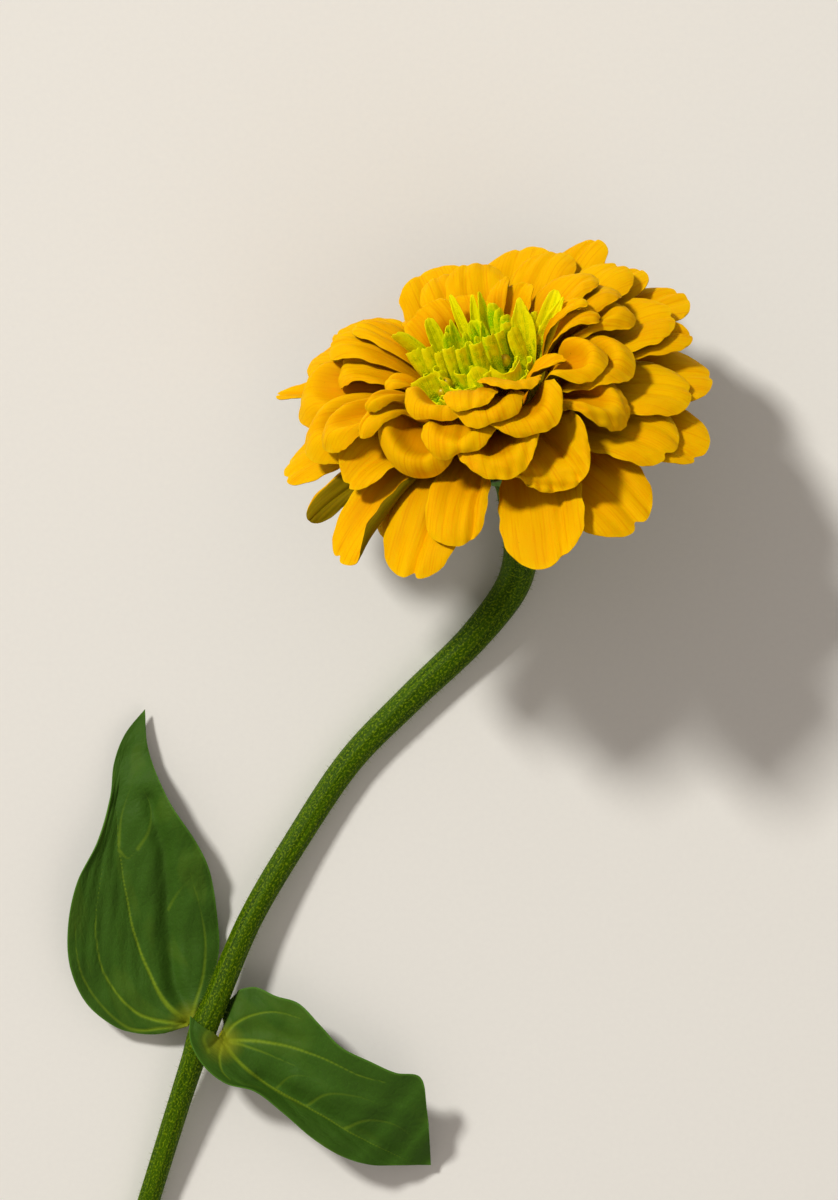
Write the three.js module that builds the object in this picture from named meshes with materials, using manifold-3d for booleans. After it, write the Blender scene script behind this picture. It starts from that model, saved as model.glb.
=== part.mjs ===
// A cut zinnia flower lying on a table: a double yellow bloom, its green cup, a bent stem and two leaves.
// Millimetres, +Z up. The bloom faces up and away from the stem, and rests on its far petals and on the stem.
import * as THREE from "three";
import { mergeVertices } from "three/addons/utils/BufferGeometryUtils.js";
import Module from "manifold-3d";

const wasm = await Module();
wasm.setup();

const { clamp, degToRad, smoothstep } = THREE.MathUtils;

// The photograph is laid down on the table: X is right in it, Y is up in it, and Z rises to its viewpoint.
const VIEW_HEIGHT = 900;
const MM_PER_PIXEL_PER_MM = 0.2 / 865;
const PHOTO_MIDDLE = { x: 419, y: 600 };
// From that frame to the part's own, whose origin lies under the middle of the whole flower.
const TO_ORIGIN = new THREE.Vector3(7.5, 36, 0);

// The head: where its axis crosses the level of the outermost petals, and how it is turned.
const HEAD_POINT = { x: 494, y: 421 };
const HEAD_HEIGHT = 35;
const HEAD_TILT = degToRad(18);
const HEAD_RISE = degToRad(38);

const BLADE = 0.8;
const LEAF = 0.9;
const GAP = 0.3;
const PETAL_SPACING = 0.9;
const TABLE_LIFT = 0.1;
const TABLE_SOFT = 2.0;

const DISC_LEVEL = 9;
const DISC_RADIUS = 11.1;
const NECK_LEVEL = -13.8;

// How finely each piece is faceted.
const PETAL_ROWS = [5, 5, 5, 4, 4];
const PETAL_COLUMNS = 4;
const NARROW_PETAL = 12.5;
const STEM_RINGS = 36;
const STEM_SIDES = 10;
const LEAF_ROWS = 11;
const LEAF_COLUMNS = 8;

const photoPoint = (x, y, z) =>
  new THREE.Vector3(
    (x - PHOTO_MIDDLE.x) * MM_PER_PIXEL_PER_MM * (VIEW_HEIGHT - z),
    (PHOTO_MIDDLE.y - y) * MM_PER_PIXEL_PER_MM * (VIEW_HEIGHT - z),
    z,
  );

const AXIS = new THREE.Vector3(
  -Math.sin(HEAD_TILT) * Math.cos(HEAD_RISE),
  Math.cos(HEAD_TILT) * Math.cos(HEAD_RISE),
  Math.sin(HEAD_RISE),
);
const RIGHT = new THREE.Vector3(Math.cos(HEAD_TILT), Math.sin(HEAD_TILT), 0);
const FAR = AXIS.clone().cross(RIGHT);
const HEAD = photoPoint(HEAD_POINT.x, HEAD_POINT.y, HEAD_HEIGHT);
const headFrame = new THREE.Matrix4().makeBasis(RIGHT, FAR, AXIS).setPosition(HEAD);
const headFrameBack = headFrame.clone().invert();

// Where the line of sight through a point of the photograph meets a level of the head.
function atLevel(tip, level) {
  const eye = new THREE.Vector3(0, 0, VIEW_HEIGHT).applyMatrix4(headFrameBack);
  const ray = photoPoint(tip[0], tip[1], 0).applyMatrix4(headFrameBack).sub(eye);
  return eye.addScaledVector(ray, (level - eye.z) / ray.z);
}

const aroundAxis = (radius, turn, level) =>
  new THREE.Vector3(radius * Math.cos(turn), radius * Math.sin(turn), level);

// Petals, each in its ring's form. Azimuth 0 is right in the photograph, 90 is its far side.
const RINGS = [
  { root: 9.0, rootLevel: -1.0, arch: 2.6, curl: 8, cup: 0.8, roll: 0.8, notch: 0.9 },
  { root: 9.6, rootLevel: 1.4, arch: 2.8, curl: 12, cup: 0.8, roll: 1.2, notch: 0.7 },
  { root: 10.6, rootLevel: 4.2, arch: 3.0, curl: 38, cup: 1.0, roll: 2.0, notch: 0.5 },
  { root: 11.6, rootLevel: 7.0, arch: 2.4, curl: 55, cup: 1.1, roll: 2.4, notch: 0.3 },
  { root: 12.2, rootLevel: 9.6, arch: 1.6, curl: 60, cup: 1.0, roll: 1.8, notch: 0.2 },
];

// The far petals that the photograph hides behind the head: it rests on the first four.
const FAR_PETALS = [
  { ring: 0, azimuth: 52, radius: 50, level: -11, width: 17 },
  { ring: 0, azimuth: 72, radius: 48, level: -8, width: 17 },
  { ring: 0, azimuth: 91, radius: 48, level: -7.5, width: 17 },
  { ring: 0, azimuth: 112, radius: 48, level: -9, width: 17 },
  { ring: 1, azimuth: 150, radius: 38, level: -2, width: 16.5 },
  { ring: 1, azimuth: 216, radius: 34, level: -6, width: 16.5 },
];

// The petals that show: the tip in the photograph, its level over the head's plane, and the petal's width.
const SEEN_PETALS = [
  { ring: 0, tip: [408, 578], level: -5.5, width: 18 },
  { ring: 0, tip: [638, 528], level: -7, width: 19 },
  { ring: 0, tip: [552, 567], level: -5.5, width: 18, lag: 60 },
  { ring: 0, tip: [709, 447], level: -5, width: 17 },
  { ring: 0, tip: [713, 376], level: -1, width: 19 },
  { ring: 0, tip: [685, 292], level: 6, width: 16 },
  { ring: 0, tip: [644, 266], level: 10, width: 12 },
  { ring: 0, tip: [597, 237], level: 13, width: 12, end: 1.6, blunt: 0.6 },
  { ring: 0, tip: [524, 245], level: 13, width: 16 },
  { ring: 0, tip: [480, 259], level: 13.5, width: 14 },
  { ring: 0, tip: [424, 268], level: 14.5, width: 16.5 },
  { ring: 0, tip: [336, 329], level: 7, width: 14, lag: 8, end: 1.3, blunt: 0.7 },
  { ring: 0, tip: [275, 396], level: 1, width: 7, end: 2.2, blunt: 0.5 },
  { ring: 0, tip: [282, 472], level: -2.5, width: 15 },
  { ring: 0, tip: [306, 520], level: -4, width: 8.5, end: 1.5, twist: -25, bank: -10 },
  { ring: 0, tip: [340, 566], level: -5.5, width: 14, cup: 1.8 },
  { ring: 1, tip: [450, 546], level: -0.5, width: 15 },
  { ring: 1, tip: [677, 450], level: -1, width: 17 },
  { ring: 1, tip: [693, 395], level: 2, width: 17 },
  { ring: 1, tip: [693, 333], level: 6, width: 10, end: 1.9, blunt: 0.6 },
  { ring: 1, tip: [674, 312], level: 9.5, width: 16 },
  { ring: 1, tip: [625, 262], level: 14, width: 14 },
  { ring: 1, tip: [558, 248], level: 15.5, width: 13.5 },
  { ring: 1, tip: [452, 264], level: 16, width: 17 },
  { ring: 1, tip: [304, 356], level: 7, width: 17 },
  { ring: 1, tip: [293, 400], level: 7.5, width: 19 },
  { ring: 1, tip: [333, 347], level: 11.5, width: 13, lag: -5, end: 1.3, blunt: 0.7 },
  { ring: 1, tip: [300, 438], level: 7.5, width: 17 },
  { ring: 1, tip: [345, 487], level: 4.5, width: 12 },
  { ring: 2, tip: [336, 377], level: 13, width: 10 },
  { ring: 2, tip: [316, 455], level: 9, width: 14 },
  { ring: 2, tip: [415, 478], level: 6.5, width: 19, lag: -25 },
  { ring: 2, tip: [568, 487], level: 3, width: 18 },
  { ring: 2, tip: [503, 479], level: 9, width: 16 },
  { ring: 2, tip: [627, 429], level: 6, width: 14 },
  { ring: 2, tip: [355, 434], level: 14, width: 5, end: 2.2, blunt: 0.5 },
  { ring: 3, tip: [362, 412], level: 17.5, width: 3.6, end: 2.2, blunt: 0.5 },
  { ring: 2, tip: [634, 372], level: 10, width: 17 },
  { ring: 2, tip: [638, 315], level: 13, width: 8 },
  { ring: 2, tip: [622, 286], level: 16.5, width: 11 },
  { ring: 2, tip: [596, 272], level: 19.5, width: 12 },
  { ring: 3, tip: [454, 460], level: 13.5, width: 15 },
  { ring: 3, tip: [543, 440], level: 13.5, width: 17 },
  { ring: 3, tip: [608, 373], level: 14.5, width: 14 },
  { ring: 3, tip: [422, 424], level: 16, width: 15 },
  { ring: 3, tip: [608, 315], level: 18.5, width: 6.5 },
  { ring: 4, tip: [492, 433], level: 18, width: 14 },
  { ring: 4, tip: [468, 417], level: 21, width: 12 },
  { ring: 4, tip: [526, 397], level: 19.5, width: 12 },
  { ring: 4, tip: [569, 355], level: 17.5, width: 5 },
  { ring: 4, tip: [592, 300], level: 22.5, width: 6 },
];

// The short inner petals behind the florets, which the photograph hides too.
const INNER_PETALS = [
  { ring: 4, azimuth: 73, radius: 21, level: 12.5, width: 12 },
  { ring: 4, azimuth: 92, radius: 21, level: 12, width: 12 },
  { ring: 4, azimuth: 111, radius: 21, level: 12.5, width: 12 },
];

// A petal's middle line seen from its side, from its root: an arch that curls down over its last part.
function sideLine(reach, rise, arch, curl) {
  const steps = 24;
  const curlFrom = 0.6;
  const chord = new THREE.Vector2(reach, rise);
  const square = new THREE.Vector2(-rise, reach).normalize();
  const bow = chord.clone().multiplyScalar(0.45).addScaledVector(square, 2 * arch);
  const arc = new THREE.QuadraticBezierCurve(new THREE.Vector2(), bow, chord);
  const points = arc.getSpacedPoints(steps);
  const step = arc.getLength() / steps;
  const angles = [];
  const line = [new THREE.Vector2()];
  for (let i = 0; i < steps; i += 1) {
    const bent = curl * clamp(((i + 0.5) / steps - curlFrom) / (1 - curlFrom), 0, 1) ** 1.4;
    const angle = Math.atan2(points[i + 1].y - points[i].y, points[i + 1].x - points[i].x) - bent;
    angles.push(angle);
    line.push(line[i].clone().add(new THREE.Vector2(Math.cos(angle), Math.sin(angle)).multiplyScalar(step)));
  }
  // Turned and stretched so that the tip still lands where it is meant to.
  const turn = Math.atan2(rise, reach) - Math.atan2(line[steps].y, line[steps].x);
  const stretch = chord.length() / line[steps].length();
  const centre = new THREE.Vector2();
  for (const p of line) p.multiplyScalar(stretch).rotateAround(centre, turn);
  const at = (along) => {
    const place = clamp(along, 0, 1) * steps;
    const i = Math.min(Math.floor(place), steps - 1);
    const j = clamp(place - 0.5, 0, steps - 1);
    const k = Math.min(Math.floor(j), steps - 2);
    const angle = angles[k] + (angles[k + 1] - angles[k]) * (j - k) + turn;
    return { point: line[i].clone().lerp(line[i + 1], place - i), angle };
  };
  return { at, length: step * steps * stretch };
}

// A petal's middle surface in the head's frame, as rows of points from root to tip.
function petalRows(petal, rows, columns) {
  const form = { lag: 0, end: 1.15, blunt: 0.8, twist: 0, bank: 0, ...RINGS[petal.ring], ...petal };
  const tip = form.tip
    ? atLevel(form.tip, form.level)
    : aroundAxis(form.radius, degToRad(form.azimuth), form.level);
  const rootTurn = Math.atan2(tip.y, tip.x) + degToRad(form.lag);
  const root = aroundAxis(form.root, rootTurn, form.rootLevel);
  const out = new THREE.Vector3(tip.x - root.x, tip.y - root.y, 0);
  const reach = out.length();
  out.normalize();
  const across = new THREE.Vector3(-out.y, out.x, 0);
  const line = sideLine(reach, form.level - form.rootLevel, form.arch, degToRad(form.curl));
  const half = form.width / 2;
  const endLength = Math.min(form.end * half, 0.6 * line.length);
  const corner = Math.sqrt(1 - form.blunt ** 2);
  const shoulder = line.length - endLength * (1 - corner);
  const grid = [];
  for (let i = 0; i <= rows; i += 1) {
    const s = (i / rows) ** 0.85;
    const edge = s * shoulder;
    const claw = 0.34 + 0.66 * smoothstep(edge, 0, 0.62 * line.length);
    const round = Math.sqrt(Math.max(1 - clamp((edge - line.length + endLength) / endLength, 0, 1) ** 2, 0));
    const row = [];
    for (let j = 0; j <= columns; j += 1) {
      const t = (2 * j) / columns - 1;
      const arc = (Math.sqrt(1 - (form.blunt * t) ** 2) - corner) / (1 - corner);
      const dent = form.notch * Math.exp(-((t / 0.16) ** 2)) * s ** 6;
      const along = (s * (shoulder + (line.length - shoulder) * arc) - dent) / line.length;
      const x = half * claw * round * t;
      const e = x / half;
      const cup = form.cup * e * e * smoothstep(along, 0, 0.3) * (1 - 0.6 * smoothstep(along, 0.7, 1));
      const rim = Math.hypot(0.95 * e, Math.max(along - 0.55, 0) / 0.45);
      const fall = form.roll * clamp((rim - 0.6) / 0.4, 0, 1.2) ** 2 * smoothstep(along, 0.15, 0.5);
      const turn = degToRad(form.twist) * along + degToRad(form.bank) * smoothstep(along, 0, 0.35);
      const side = x * Math.cos(turn) - (cup - fall) * Math.sin(turn);
      const lift = x * Math.sin(turn) + (cup - fall) * Math.cos(turn);
      const { point, angle } = line.at(along);
      const p = root.clone().addScaledVector(out, point.x - Math.sin(angle) * lift);
      p.addScaledVector(across, side);
      p.z = form.rootLevel + point.y + Math.cos(angle) * lift;
      row.push(p);
    }
    grid.push(row);
  }
  return grid;
}

// Points between a grid's own, for the height map below.
function* between(grid, parts) {
  for (let i = 0; i < grid.length - 1; i += 1)
    for (let j = 0; j < grid[i].length - 1; j += 1)
      for (let a = 0; a <= parts; a += 1)
        for (let b = 0; b <= parts; b += 1) {
          const near = grid[i][j].clone().lerp(grid[i][j + 1], b / parts);
          const next = grid[i + 1][j].clone().lerp(grid[i + 1][j + 1], b / parts);
          yield near.lerp(next, a / parts);
        }
}

// Lays the petals one on another in their order: each is lifted off those already there.
function stack(grids, spacing) {
  const cell = 0.6;
  const span = 60;
  const side = Math.round((2 * span) / cell);
  const mapped = new Float32Array(side * side).fill(-99);
  const index = (v) => clamp(Math.floor((v + span) / cell), 1, side - 2);
  for (const grid of grids) {
    const need = grid.map((row, i) =>
      row.map((p) => {
        let below = -99;
        for (let a = -1; a <= 1; a += 1)
          for (let b = -1; b <= 1; b += 1)
            below = Math.max(below, mapped[(index(p.x) + a) * side + index(p.y) + b]);
        const free = smoothstep(i / (grid.length - 1), 0.12, 0.4);
        return clamp(below + spacing - p.z, 0, 6) * free;
      }),
    );
    let lift = need.map((row) => [...row]);
    const value = (i, j) => {
      const row = Math.min(i, lift.length - 1);
      return i < 0 ? 0 : lift[row][clamp(j, 0, lift[row].length - 1)];
    };
    const mean = (i, j) =>
      (value(i - 1, j) + value(i + 1, j) + value(i, j - 1) + value(i, j + 1) + 2 * value(i, j)) / 6;
    for (let pass = 0; pass < 12; pass += 1)
      lift = lift.map((row, i) => row.map((_, j) => Math.max(need[i][j], mean(i, j))));
    grid.forEach((row, i) => row.forEach((p, j) => (p.z += lift[i][j])));
    for (const p of between(grid, 4)) {
      const k = index(p.x) * side + index(p.y);
      mapped[k] = Math.max(mapped[k], p.z);
    }
  }
}

// What would dip through the table lies along it.
function lieOnTable(p) {
  if (p.z < TABLE_SOFT) {
    const soft = TABLE_SOFT - TABLE_LIFT;
    p.z = TABLE_LIFT + soft * Math.exp((p.z - TABLE_SOFT) / soft);
  }
  return p;
}

const inHead = (grid) => grid.map((row) => row.map((p) => lieOnTable(p.clone().applyMatrix4(headFrame))));

// A closed blade of one thickness round a middle surface, split alike on both faces.
function slab(grid, thickness) {
  const rows = grid.length;
  const columns = grid[0].length;
  const size = rows * columns;
  const at = (i, j) => grid[clamp(i, 0, rows - 1)][clamp(j, 0, columns - 1)];
  const top = [];
  const bottom = [];
  for (let i = 0; i < rows; i += 1)
    for (let j = 0; j < columns; j += 1) {
      const along = at(i + 1, j).clone().sub(at(i - 1, j));
      const across = at(i, j + 1).clone().sub(at(i, j - 1));
      const normal = along.cross(across).normalize();
      top.push(...at(i, j).clone().addScaledVector(normal, thickness / 2));
      bottom.push(...at(i, j).clone().addScaledVector(normal, -thickness / 2));
    }
  const faces = [];
  const rim = [];
  for (let j = 0; j < columns - 1; j += 1) rim.push(j);
  for (let i = 0; i < rows - 1; i += 1) rim.push(i * columns + columns - 1);
  for (let j = columns - 1; j > 0; j -= 1) rim.push((rows - 1) * columns + j);
  for (let i = rows - 1; i > 0; i -= 1) rim.push(i * columns);
  for (let i = 0; i < rows - 1; i += 1)
    for (let j = 0; j < columns - 1; j += 1) {
      const a = i * columns + j;
      const b = a + 1;
      const c = a + columns;
      const d = c + 1;
      faces.push(a, c, d, a, d, b);
      faces.push(size + a, size + d, size + c, size + a, size + b, size + d);
    }
  rim.forEach((a, k) => {
    const b = rim[(k + 1) % rim.length];
    faces.push(a, b, size + b, a, size + b, size + a);
  });
  const geometry = new THREE.BufferGeometry();
  geometry.setAttribute("position", new THREE.Float32BufferAttribute([...top, ...bottom], 3));
  geometry.setIndex(faces);
  return geometry;
}

function solid(geometry) {
  geometry.deleteAttribute("normal");
  geometry.deleteAttribute("uv");
  const merged = mergeVertices(geometry, 1e-4);
  const made = new wasm.Manifold(
    new wasm.Mesh({
      numProp: 3,
      vertProperties: merged.attributes.position.array,
      triVerts: new Uint32Array(merged.index.array),
    }),
  );
  if (made.volume() <= 0) throw new Error("a shape is inside out");
  return made;
}

const joined = (solids) => solids.reduce((all, next) => all.add(next));

// The largest of a solid's pieces, its tiny slivers and pockets left out.
function wholePiece(made) {
  const pieces = made.decompose();
  return pieces.reduce((best, next) => (next.volume() > best.volume() ? next : best));
}

// A turned shape round the head's axis, from points of radius and level.
function turned(profile, segments) {
  const points = profile.map(([radius, level]) => new THREE.Vector2(radius, level));
  return new THREE.LatheGeometry(points, segments).rotateX(Math.PI / 2).applyMatrix4(headFrame);
}

// Everything under the table's top, for cutting flat resting spots.
const underTable = () => solid(new THREE.BoxGeometry(600, 600, 20).translate(0, 0, -10));

// The room of the middle florets: they stay inside it and the petals outside, a gap apart.
const floretRoom = (margin) =>
  solid(
    turned(
      [
        [0, DISC_LEVEL - margin],
        [DISC_RADIUS + margin, DISC_LEVEL - margin],
        [DISC_RADIUS + 0.2 + margin, 11],
        [12 + margin, 14],
        [14.5 + margin, 20],
        [17 + margin, 28],
        [0, 28 + margin],
      ],
      20,
    ),
  );

function rayPetals() {
  const all = [...FAR_PETALS, ...SEEN_PETALS, ...INNER_PETALS];
  const grids = all.map((petal) => {
    const columns = petal.width < NARROW_PETAL ? 2 : PETAL_COLUMNS;
    return petalRows(petal, PETAL_ROWS[petal.ring], columns);
  });
  stack(grids, PETAL_SPACING);
  const core = solid(
    turned(
      [
        [0, -1.9],
        [10.1, -1.9],
        [10.9, 1.4],
        [11.9, 4.2],
        [12.9, 7],
        [13.5, 9.6],
        [13.1, 10.5],
        [11.5, 10.5],
        [11.3, DISC_LEVEL - GAP],
        [0, DISC_LEVEL - GAP],
      ],
      24,
    ),
  );
  const petals = grids.map((grid) => solid(slab(inHead(grid), BLADE)));
  return wholePiece(joined([core, ...petals]).subtract(floretRoom(GAP)).subtract(underTable()));
}

// Numbers between 0 and 1 in a fixed order, for what a plant varies.
function seeded(seed) {
  let state = seed;
  return (low, high) => {
    state = (state * 1664525 + 1013904223) % 4294967296;
    return low + (high - low) * (state / 4294967296);
  };
}

// The young florets of the middle stand in rings on a low dome, with broad short scales at their near foot.
const FLORET_RINGS = [
  { count: 18, radius: 10.2, top: 20.6, lean: 9, width: 3.5 },
  { count: 13, radius: 7.2, top: 22, lean: 7, width: 3.1 },
  { count: 8, radius: 4.2, top: 22.8, lean: 4, width: 2.8 },
  { count: 3, radius: 1.4, top: 22.5, lean: 2, width: 2.5 },
];
const SCALES = { count: 7, first: 186, step: 19, radius: 10.6, top: 15.4, lean: 20, width: 7.5 };

function floretForms() {
  const draw = seeded(5);
  const forms = [];
  for (const ring of FLORET_RINGS)
    for (let i = 0; i < ring.count; i += 1) {
      const azimuth = ((i + 0.4 * draw(0, 1)) * 360) / ring.count;
      const far = Math.max(0, Math.sin(degToRad(azimuth - 10)));
      const right = Math.max(0, Math.cos(degToRad(azimuth - 30))) * (ring.radius / 10);
      forms.push({
        azimuth,
        radius: ring.radius,
        top: ring.top + 0.8 * far + 1.5 * right + draw(-1.2, 1.2),
        lean: ring.lean * draw(0.7, 1.3) + 12 * right,
        width: ring.width * draw(0.85, 1.1),
        spin: draw(-22, 22),
        fold: 0.32,
      });
    }
  for (let i = 0; i < SCALES.count; i += 1)
    forms.push({
      ...SCALES,
      azimuth: SCALES.first + SCALES.step * i + draw(-4, 4),
      top: SCALES.top + draw(-0.8, 0.8),
      spin: 0,
      fold: 0.16,
    });
  return forms;
}

// A floret folded lengthwise like a gutter that is open to the head's axis.
function floretRows(form) {
  const base = DISC_LEVEL + 0.4;
  const lean = degToRad(form.lean);
  const length = (form.top - base) / Math.cos(lean);
  const turn = new THREE.Matrix4().makeRotationZ(degToRad(form.azimuth));
  const spin = degToRad(form.spin);
  return [0, 0.7, 1].map((s) =>
    [-1, 0, 1].map((t) => {
      const spread = (0.45 + 0.55 * smoothstep(s, 0, 0.7)) * (1 - 0.25 * smoothstep(s, 0.7, 1));
      const half = (form.width / 2) * spread;
      const y = s * length - (t === 0 ? 0 : 0.9 * s ** 4);
      const inward = form.fold * form.width * Math.abs(t);
      const x = half * t * Math.cos(spin) - inward * Math.sin(spin);
      const depth = half * t * Math.sin(spin) + inward * Math.cos(spin);
      const radius = form.radius - depth + Math.sin(lean) * y;
      return new THREE.Vector3(radius, x, base + Math.cos(lean) * y).applyMatrix4(turn);
    }),
  );
}

function discFlorets() {
  const dome = solid(
    turned(
      [
        [0, DISC_LEVEL],
        [DISC_RADIUS, DISC_LEVEL],
        [DISC_RADIUS, 10.6],
        [8, 12.8],
        [0, 14],
      ],
      12,
    ),
  );
  const florets = floretForms().map((form) => solid(slab(inHead(floretRows(form)), BLADE)));
  return wholePiece(joined([dome, ...florets]).intersect(floretRoom(0)));
}

// The green cup under the petals, with two rows of bracts laid on it.
const BRACT_ROWS = [
  { count: 7, from: [4.8, -11.8], to: [10.4, -6.4], width: 6.2, offset: 0 },
  { count: 7, from: [7.6, -8.2], to: [11.6, -2.9], width: 7.4, offset: 0.5 },
];

function bractRows(row, i) {
  const turn = new THREE.Matrix4().makeRotationZ(((i + row.offset) / row.count) * 2 * Math.PI);
  return [0, 0.6, 1].map((s) =>
    [-1, 0, 1].map((t) => {
      const half = (row.width / 2) * (1 - 0.62 * smoothstep(s, 0.5, 1));
      const level = row.from[1] + (row.to[1] - row.from[1]) * s - 0.5 * Math.abs(t) * s;
      const radius = row.from[0] + (row.to[0] - row.from[0]) * s ** 0.6;
      const out = Math.sqrt(radius ** 2 - (0.8 * half * t) ** 2);
      return new THREE.Vector3(out, half * t, level).applyMatrix4(turn);
    }),
  );
}

function involucre() {
  const cup = solid(
    turned(
      [
        [0, NECK_LEVEL + GAP],
        [4.1, NECK_LEVEL + GAP],
        [5.8, -12.2],
        [8.2, -8.6],
        [9.4, -5.4],
        [9.9, -2.6],
        [9.5, -1.9 - GAP],
        [0, -1.9 - GAP],
      ],
      16,
    ),
  );
  const bracts = BRACT_ROWS.flatMap((row) =>
    Array.from({ length: row.count }, (_, i) => {
      const grid = bractRows(row, i).map((line) => line.map((p) => p.applyMatrix4(headFrame)));
      return solid(slab(grid, BLADE));
    }),
  );
  const above = solid(turned([[0, -1.9 - GAP], [30, -1.9 - GAP], [30, 5], [0, 5]], 12));
  return wholePiece(joined([cup, ...bracts]).subtract(above));
}

// The stem's middle line: points of the photograph, their height over the table, and the radius there.
// It leaves the head along its axis, bends down to the table and swells where the leaves sit.
const STEM = [
  { at: [519, 525], z: 17.5, radius: 3.6 },
  { at: [520, 560], z: 9.5, radius: 3.6 },
  { at: [510, 590], z: 4.8, radius: 3.5 },
  { at: [473, 638], z: 3.0, radius: 3.2 },
  { at: [409, 700], z: 2.75, radius: 2.95 },
  { at: [351, 760], z: 2.7, radius: 2.75 },
  { at: [297, 840], z: 3.4, radius: 2.6 },
  { at: [250, 920], z: 5.2, radius: 2.55 },
  { at: [216, 1000], z: 6.9, radius: 2.6 },
  { at: [203, 1030], z: 7.0, radius: 2.9 },
  { at: [193, 1060], z: 6.6, radius: 2.5 },
  { at: [180, 1100], z: 5.4, radius: 2.35 },
  { at: [149, 1199], z: 3.0, radius: 2.3 },
  { at: [118, 1298], z: 2.1, radius: 2.3 },
];

function stemLine() {
  const neck = [NECK_LEVEL, -17].map((level) => new THREE.Vector3(0, 0, level).applyMatrix4(headFrame));
  const points = [...neck, ...STEM.map((p) => photoPoint(p.at[0], p.at[1], p.z))];
  const radii = [3.9, 3.7, ...STEM.map((p) => p.radius)];
  const curve = new THREE.CatmullRomCurve3(points, false, "centripetal");
  const radiusAt = (u) => {
    const place = u * (radii.length - 1);
    const i = Math.min(Math.floor(place), radii.length - 2);
    return radii[i] + (radii[i + 1] - radii[i]) * (place - i);
  };
  return { curve, radiusAt };
}

// A closed cylinder bent along a curve, as wide at each place as the radius there.
function bentCylinder(curve, radiusAt, rings, sides) {
  const geometry = new THREE.CylinderGeometry(1, 1, 1, sides, rings);
  const position = geometry.attributes.position;
  const up = new THREE.Vector3(0, 0, 1);
  for (let i = 0; i < position.count; i += 1) {
    const u = clamp(position.getY(i) + 0.5, 0, 1);
    const along = curve.getTangent(u);
    const side = up.clone().cross(along).normalize();
    const over = along.clone().cross(side);
    const p = curve.getPoint(u);
    p.addScaledVector(over, radiusAt(u) * position.getX(i));
    p.addScaledVector(side, radiusAt(u) * position.getZ(i));
    position.setXYZ(i, p.x, p.y, p.z);
  }
  return geometry;
}

function stem() {
  const { curve, radiusAt } = stemLine();
  return wholePiece(solid(bentCylinder(curve, radiusAt, STEM_RINGS, STEM_SIDES)).subtract(underTable()));
}

// A leaf from its outline in the photograph: both edges and the midrib from base to tip, and the heights
// over the table of the same three lines.
const LEAF_LEFT = {
  left: [
    [188, 1026], [159, 1034], [130, 1032], [112, 1025], [86, 1003], [70, 967], [68, 927],
    [77, 883], [97, 843], [110, 799], [114, 763], [125, 734], [145, 709],
  ],
  midrib: [
    [192, 1020], [159, 996], [141, 956], [128, 901], [119, 850], [117, 800], [127, 748], [145, 709],
  ],
  right: [
    [202, 1008], [211, 985], [219, 950], [218, 923], [210, 872], [199, 847], [168, 799], [148, 748],
    [145, 709],
  ],
  heights: {
    left: [4.5, 3.5, 5.5, 8, 9, 8.5, 6.5, 4, 2],
    midrib: [6.5, 5, 4.5, 5, 5.5, 5.5, 5, 3.5, 2],
    right: [4.5, 2.5, 2, 4.5, 7.5, 9.5, 8, 4, 2],
  },
};
const LEAF_RIGHT = {
  left: [
    [222, 1013], [233, 994], [254, 987], [276, 996], [298, 1003], [320, 1025], [341, 1047],
    [371, 1062], [396, 1073], [420, 1077], [427, 1110], [431, 1165],
  ],
  midrib: [
    [219, 1038], [240, 1061], [269, 1085], [323, 1113], [363, 1138], [400, 1158], [431, 1165],
  ],
  right: [
    [190, 1016], [190, 1040], [203, 1065], [225, 1083], [254, 1091], [283, 1113], [312, 1138],
    [341, 1156], [371, 1165], [400, 1165], [431, 1165],
  ],
  heights: {
    left: [3.5, 7, 10, 12, 13, 13, 11.5, 8, 2.5],
    midrib: [9, 8.5, 8.5, 9, 9.5, 9, 7.5, 5, 2.5],
    right: [10.5, 11.5, 12, 12, 12, 11, 9, 6, 2.5],
  },
};

const outline = (points) => {
  const places = points.map(([x, y]) => new THREE.Vector3(x, y, 0));
  return new THREE.CatmullRomCurve3(places, false, "centripetal");
};

function leafRows(leaf, rows, columns) {
  const lines = { left: outline(leaf.left), midrib: outline(leaf.midrib), right: outline(leaf.right) };
  const height = (line, s) => {
    const values = leaf.heights[line];
    const place = s * (values.length - 1);
    const i = Math.min(Math.floor(place), values.length - 2);
    return values[i] + (values[i + 1] - values[i]) * smoothstep(place - i, 0, 1);
  };
  const grid = [];
  for (let i = 0; i <= rows; i += 1) {
    const s = i / rows;
    const middle = lines.midrib.getPointAt(s);
    const row = [];
    for (let j = 0; j <= columns; j += 1) {
      const t = (2 * j) / columns - 1;
      const line = t < 0 ? "left" : "right";
      const reach = Math.abs(t);
      const p = middle.clone().lerp(lines[line].getPointAt(s), reach);
      const z = THREE.MathUtils.lerp(height("midrib", s), height(line, s), reach ** 1.4);
      row.push(photoPoint(p.x, p.y, z));
    }
    grid.push(row);
  }
  return grid;
}

// Pushes a blade's points off the stem's surface.
function clearOfStem(grid, room) {
  const { curve, radiusAt } = stemLine();
  const steps = 240;
  const samples = [];
  for (let i = 0; i <= steps; i += 1) samples.push({ p: curve.getPoint(i / steps), r: radiusAt(i / steps) });
  for (const row of grid)
    for (const p of row) {
      const near = samples.reduce((best, s) => (s.p.distanceTo(p) < best.p.distanceTo(p) ? s : best));
      const off = p.clone().sub(near.p);
      const least = near.r + room;
      if (off.length() < least) p.copy(near.p).addScaledVector(off.normalize(), least);
    }
  return grid;
}

function leaf(form) {
  const room = LEAF / 2 + GAP + 0.3;
  return wholePiece(solid(slab(clearOfStem(leafRows(form, LEAF_ROWS, LEAF_COLUMNS), room), LEAF)));
}

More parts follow.
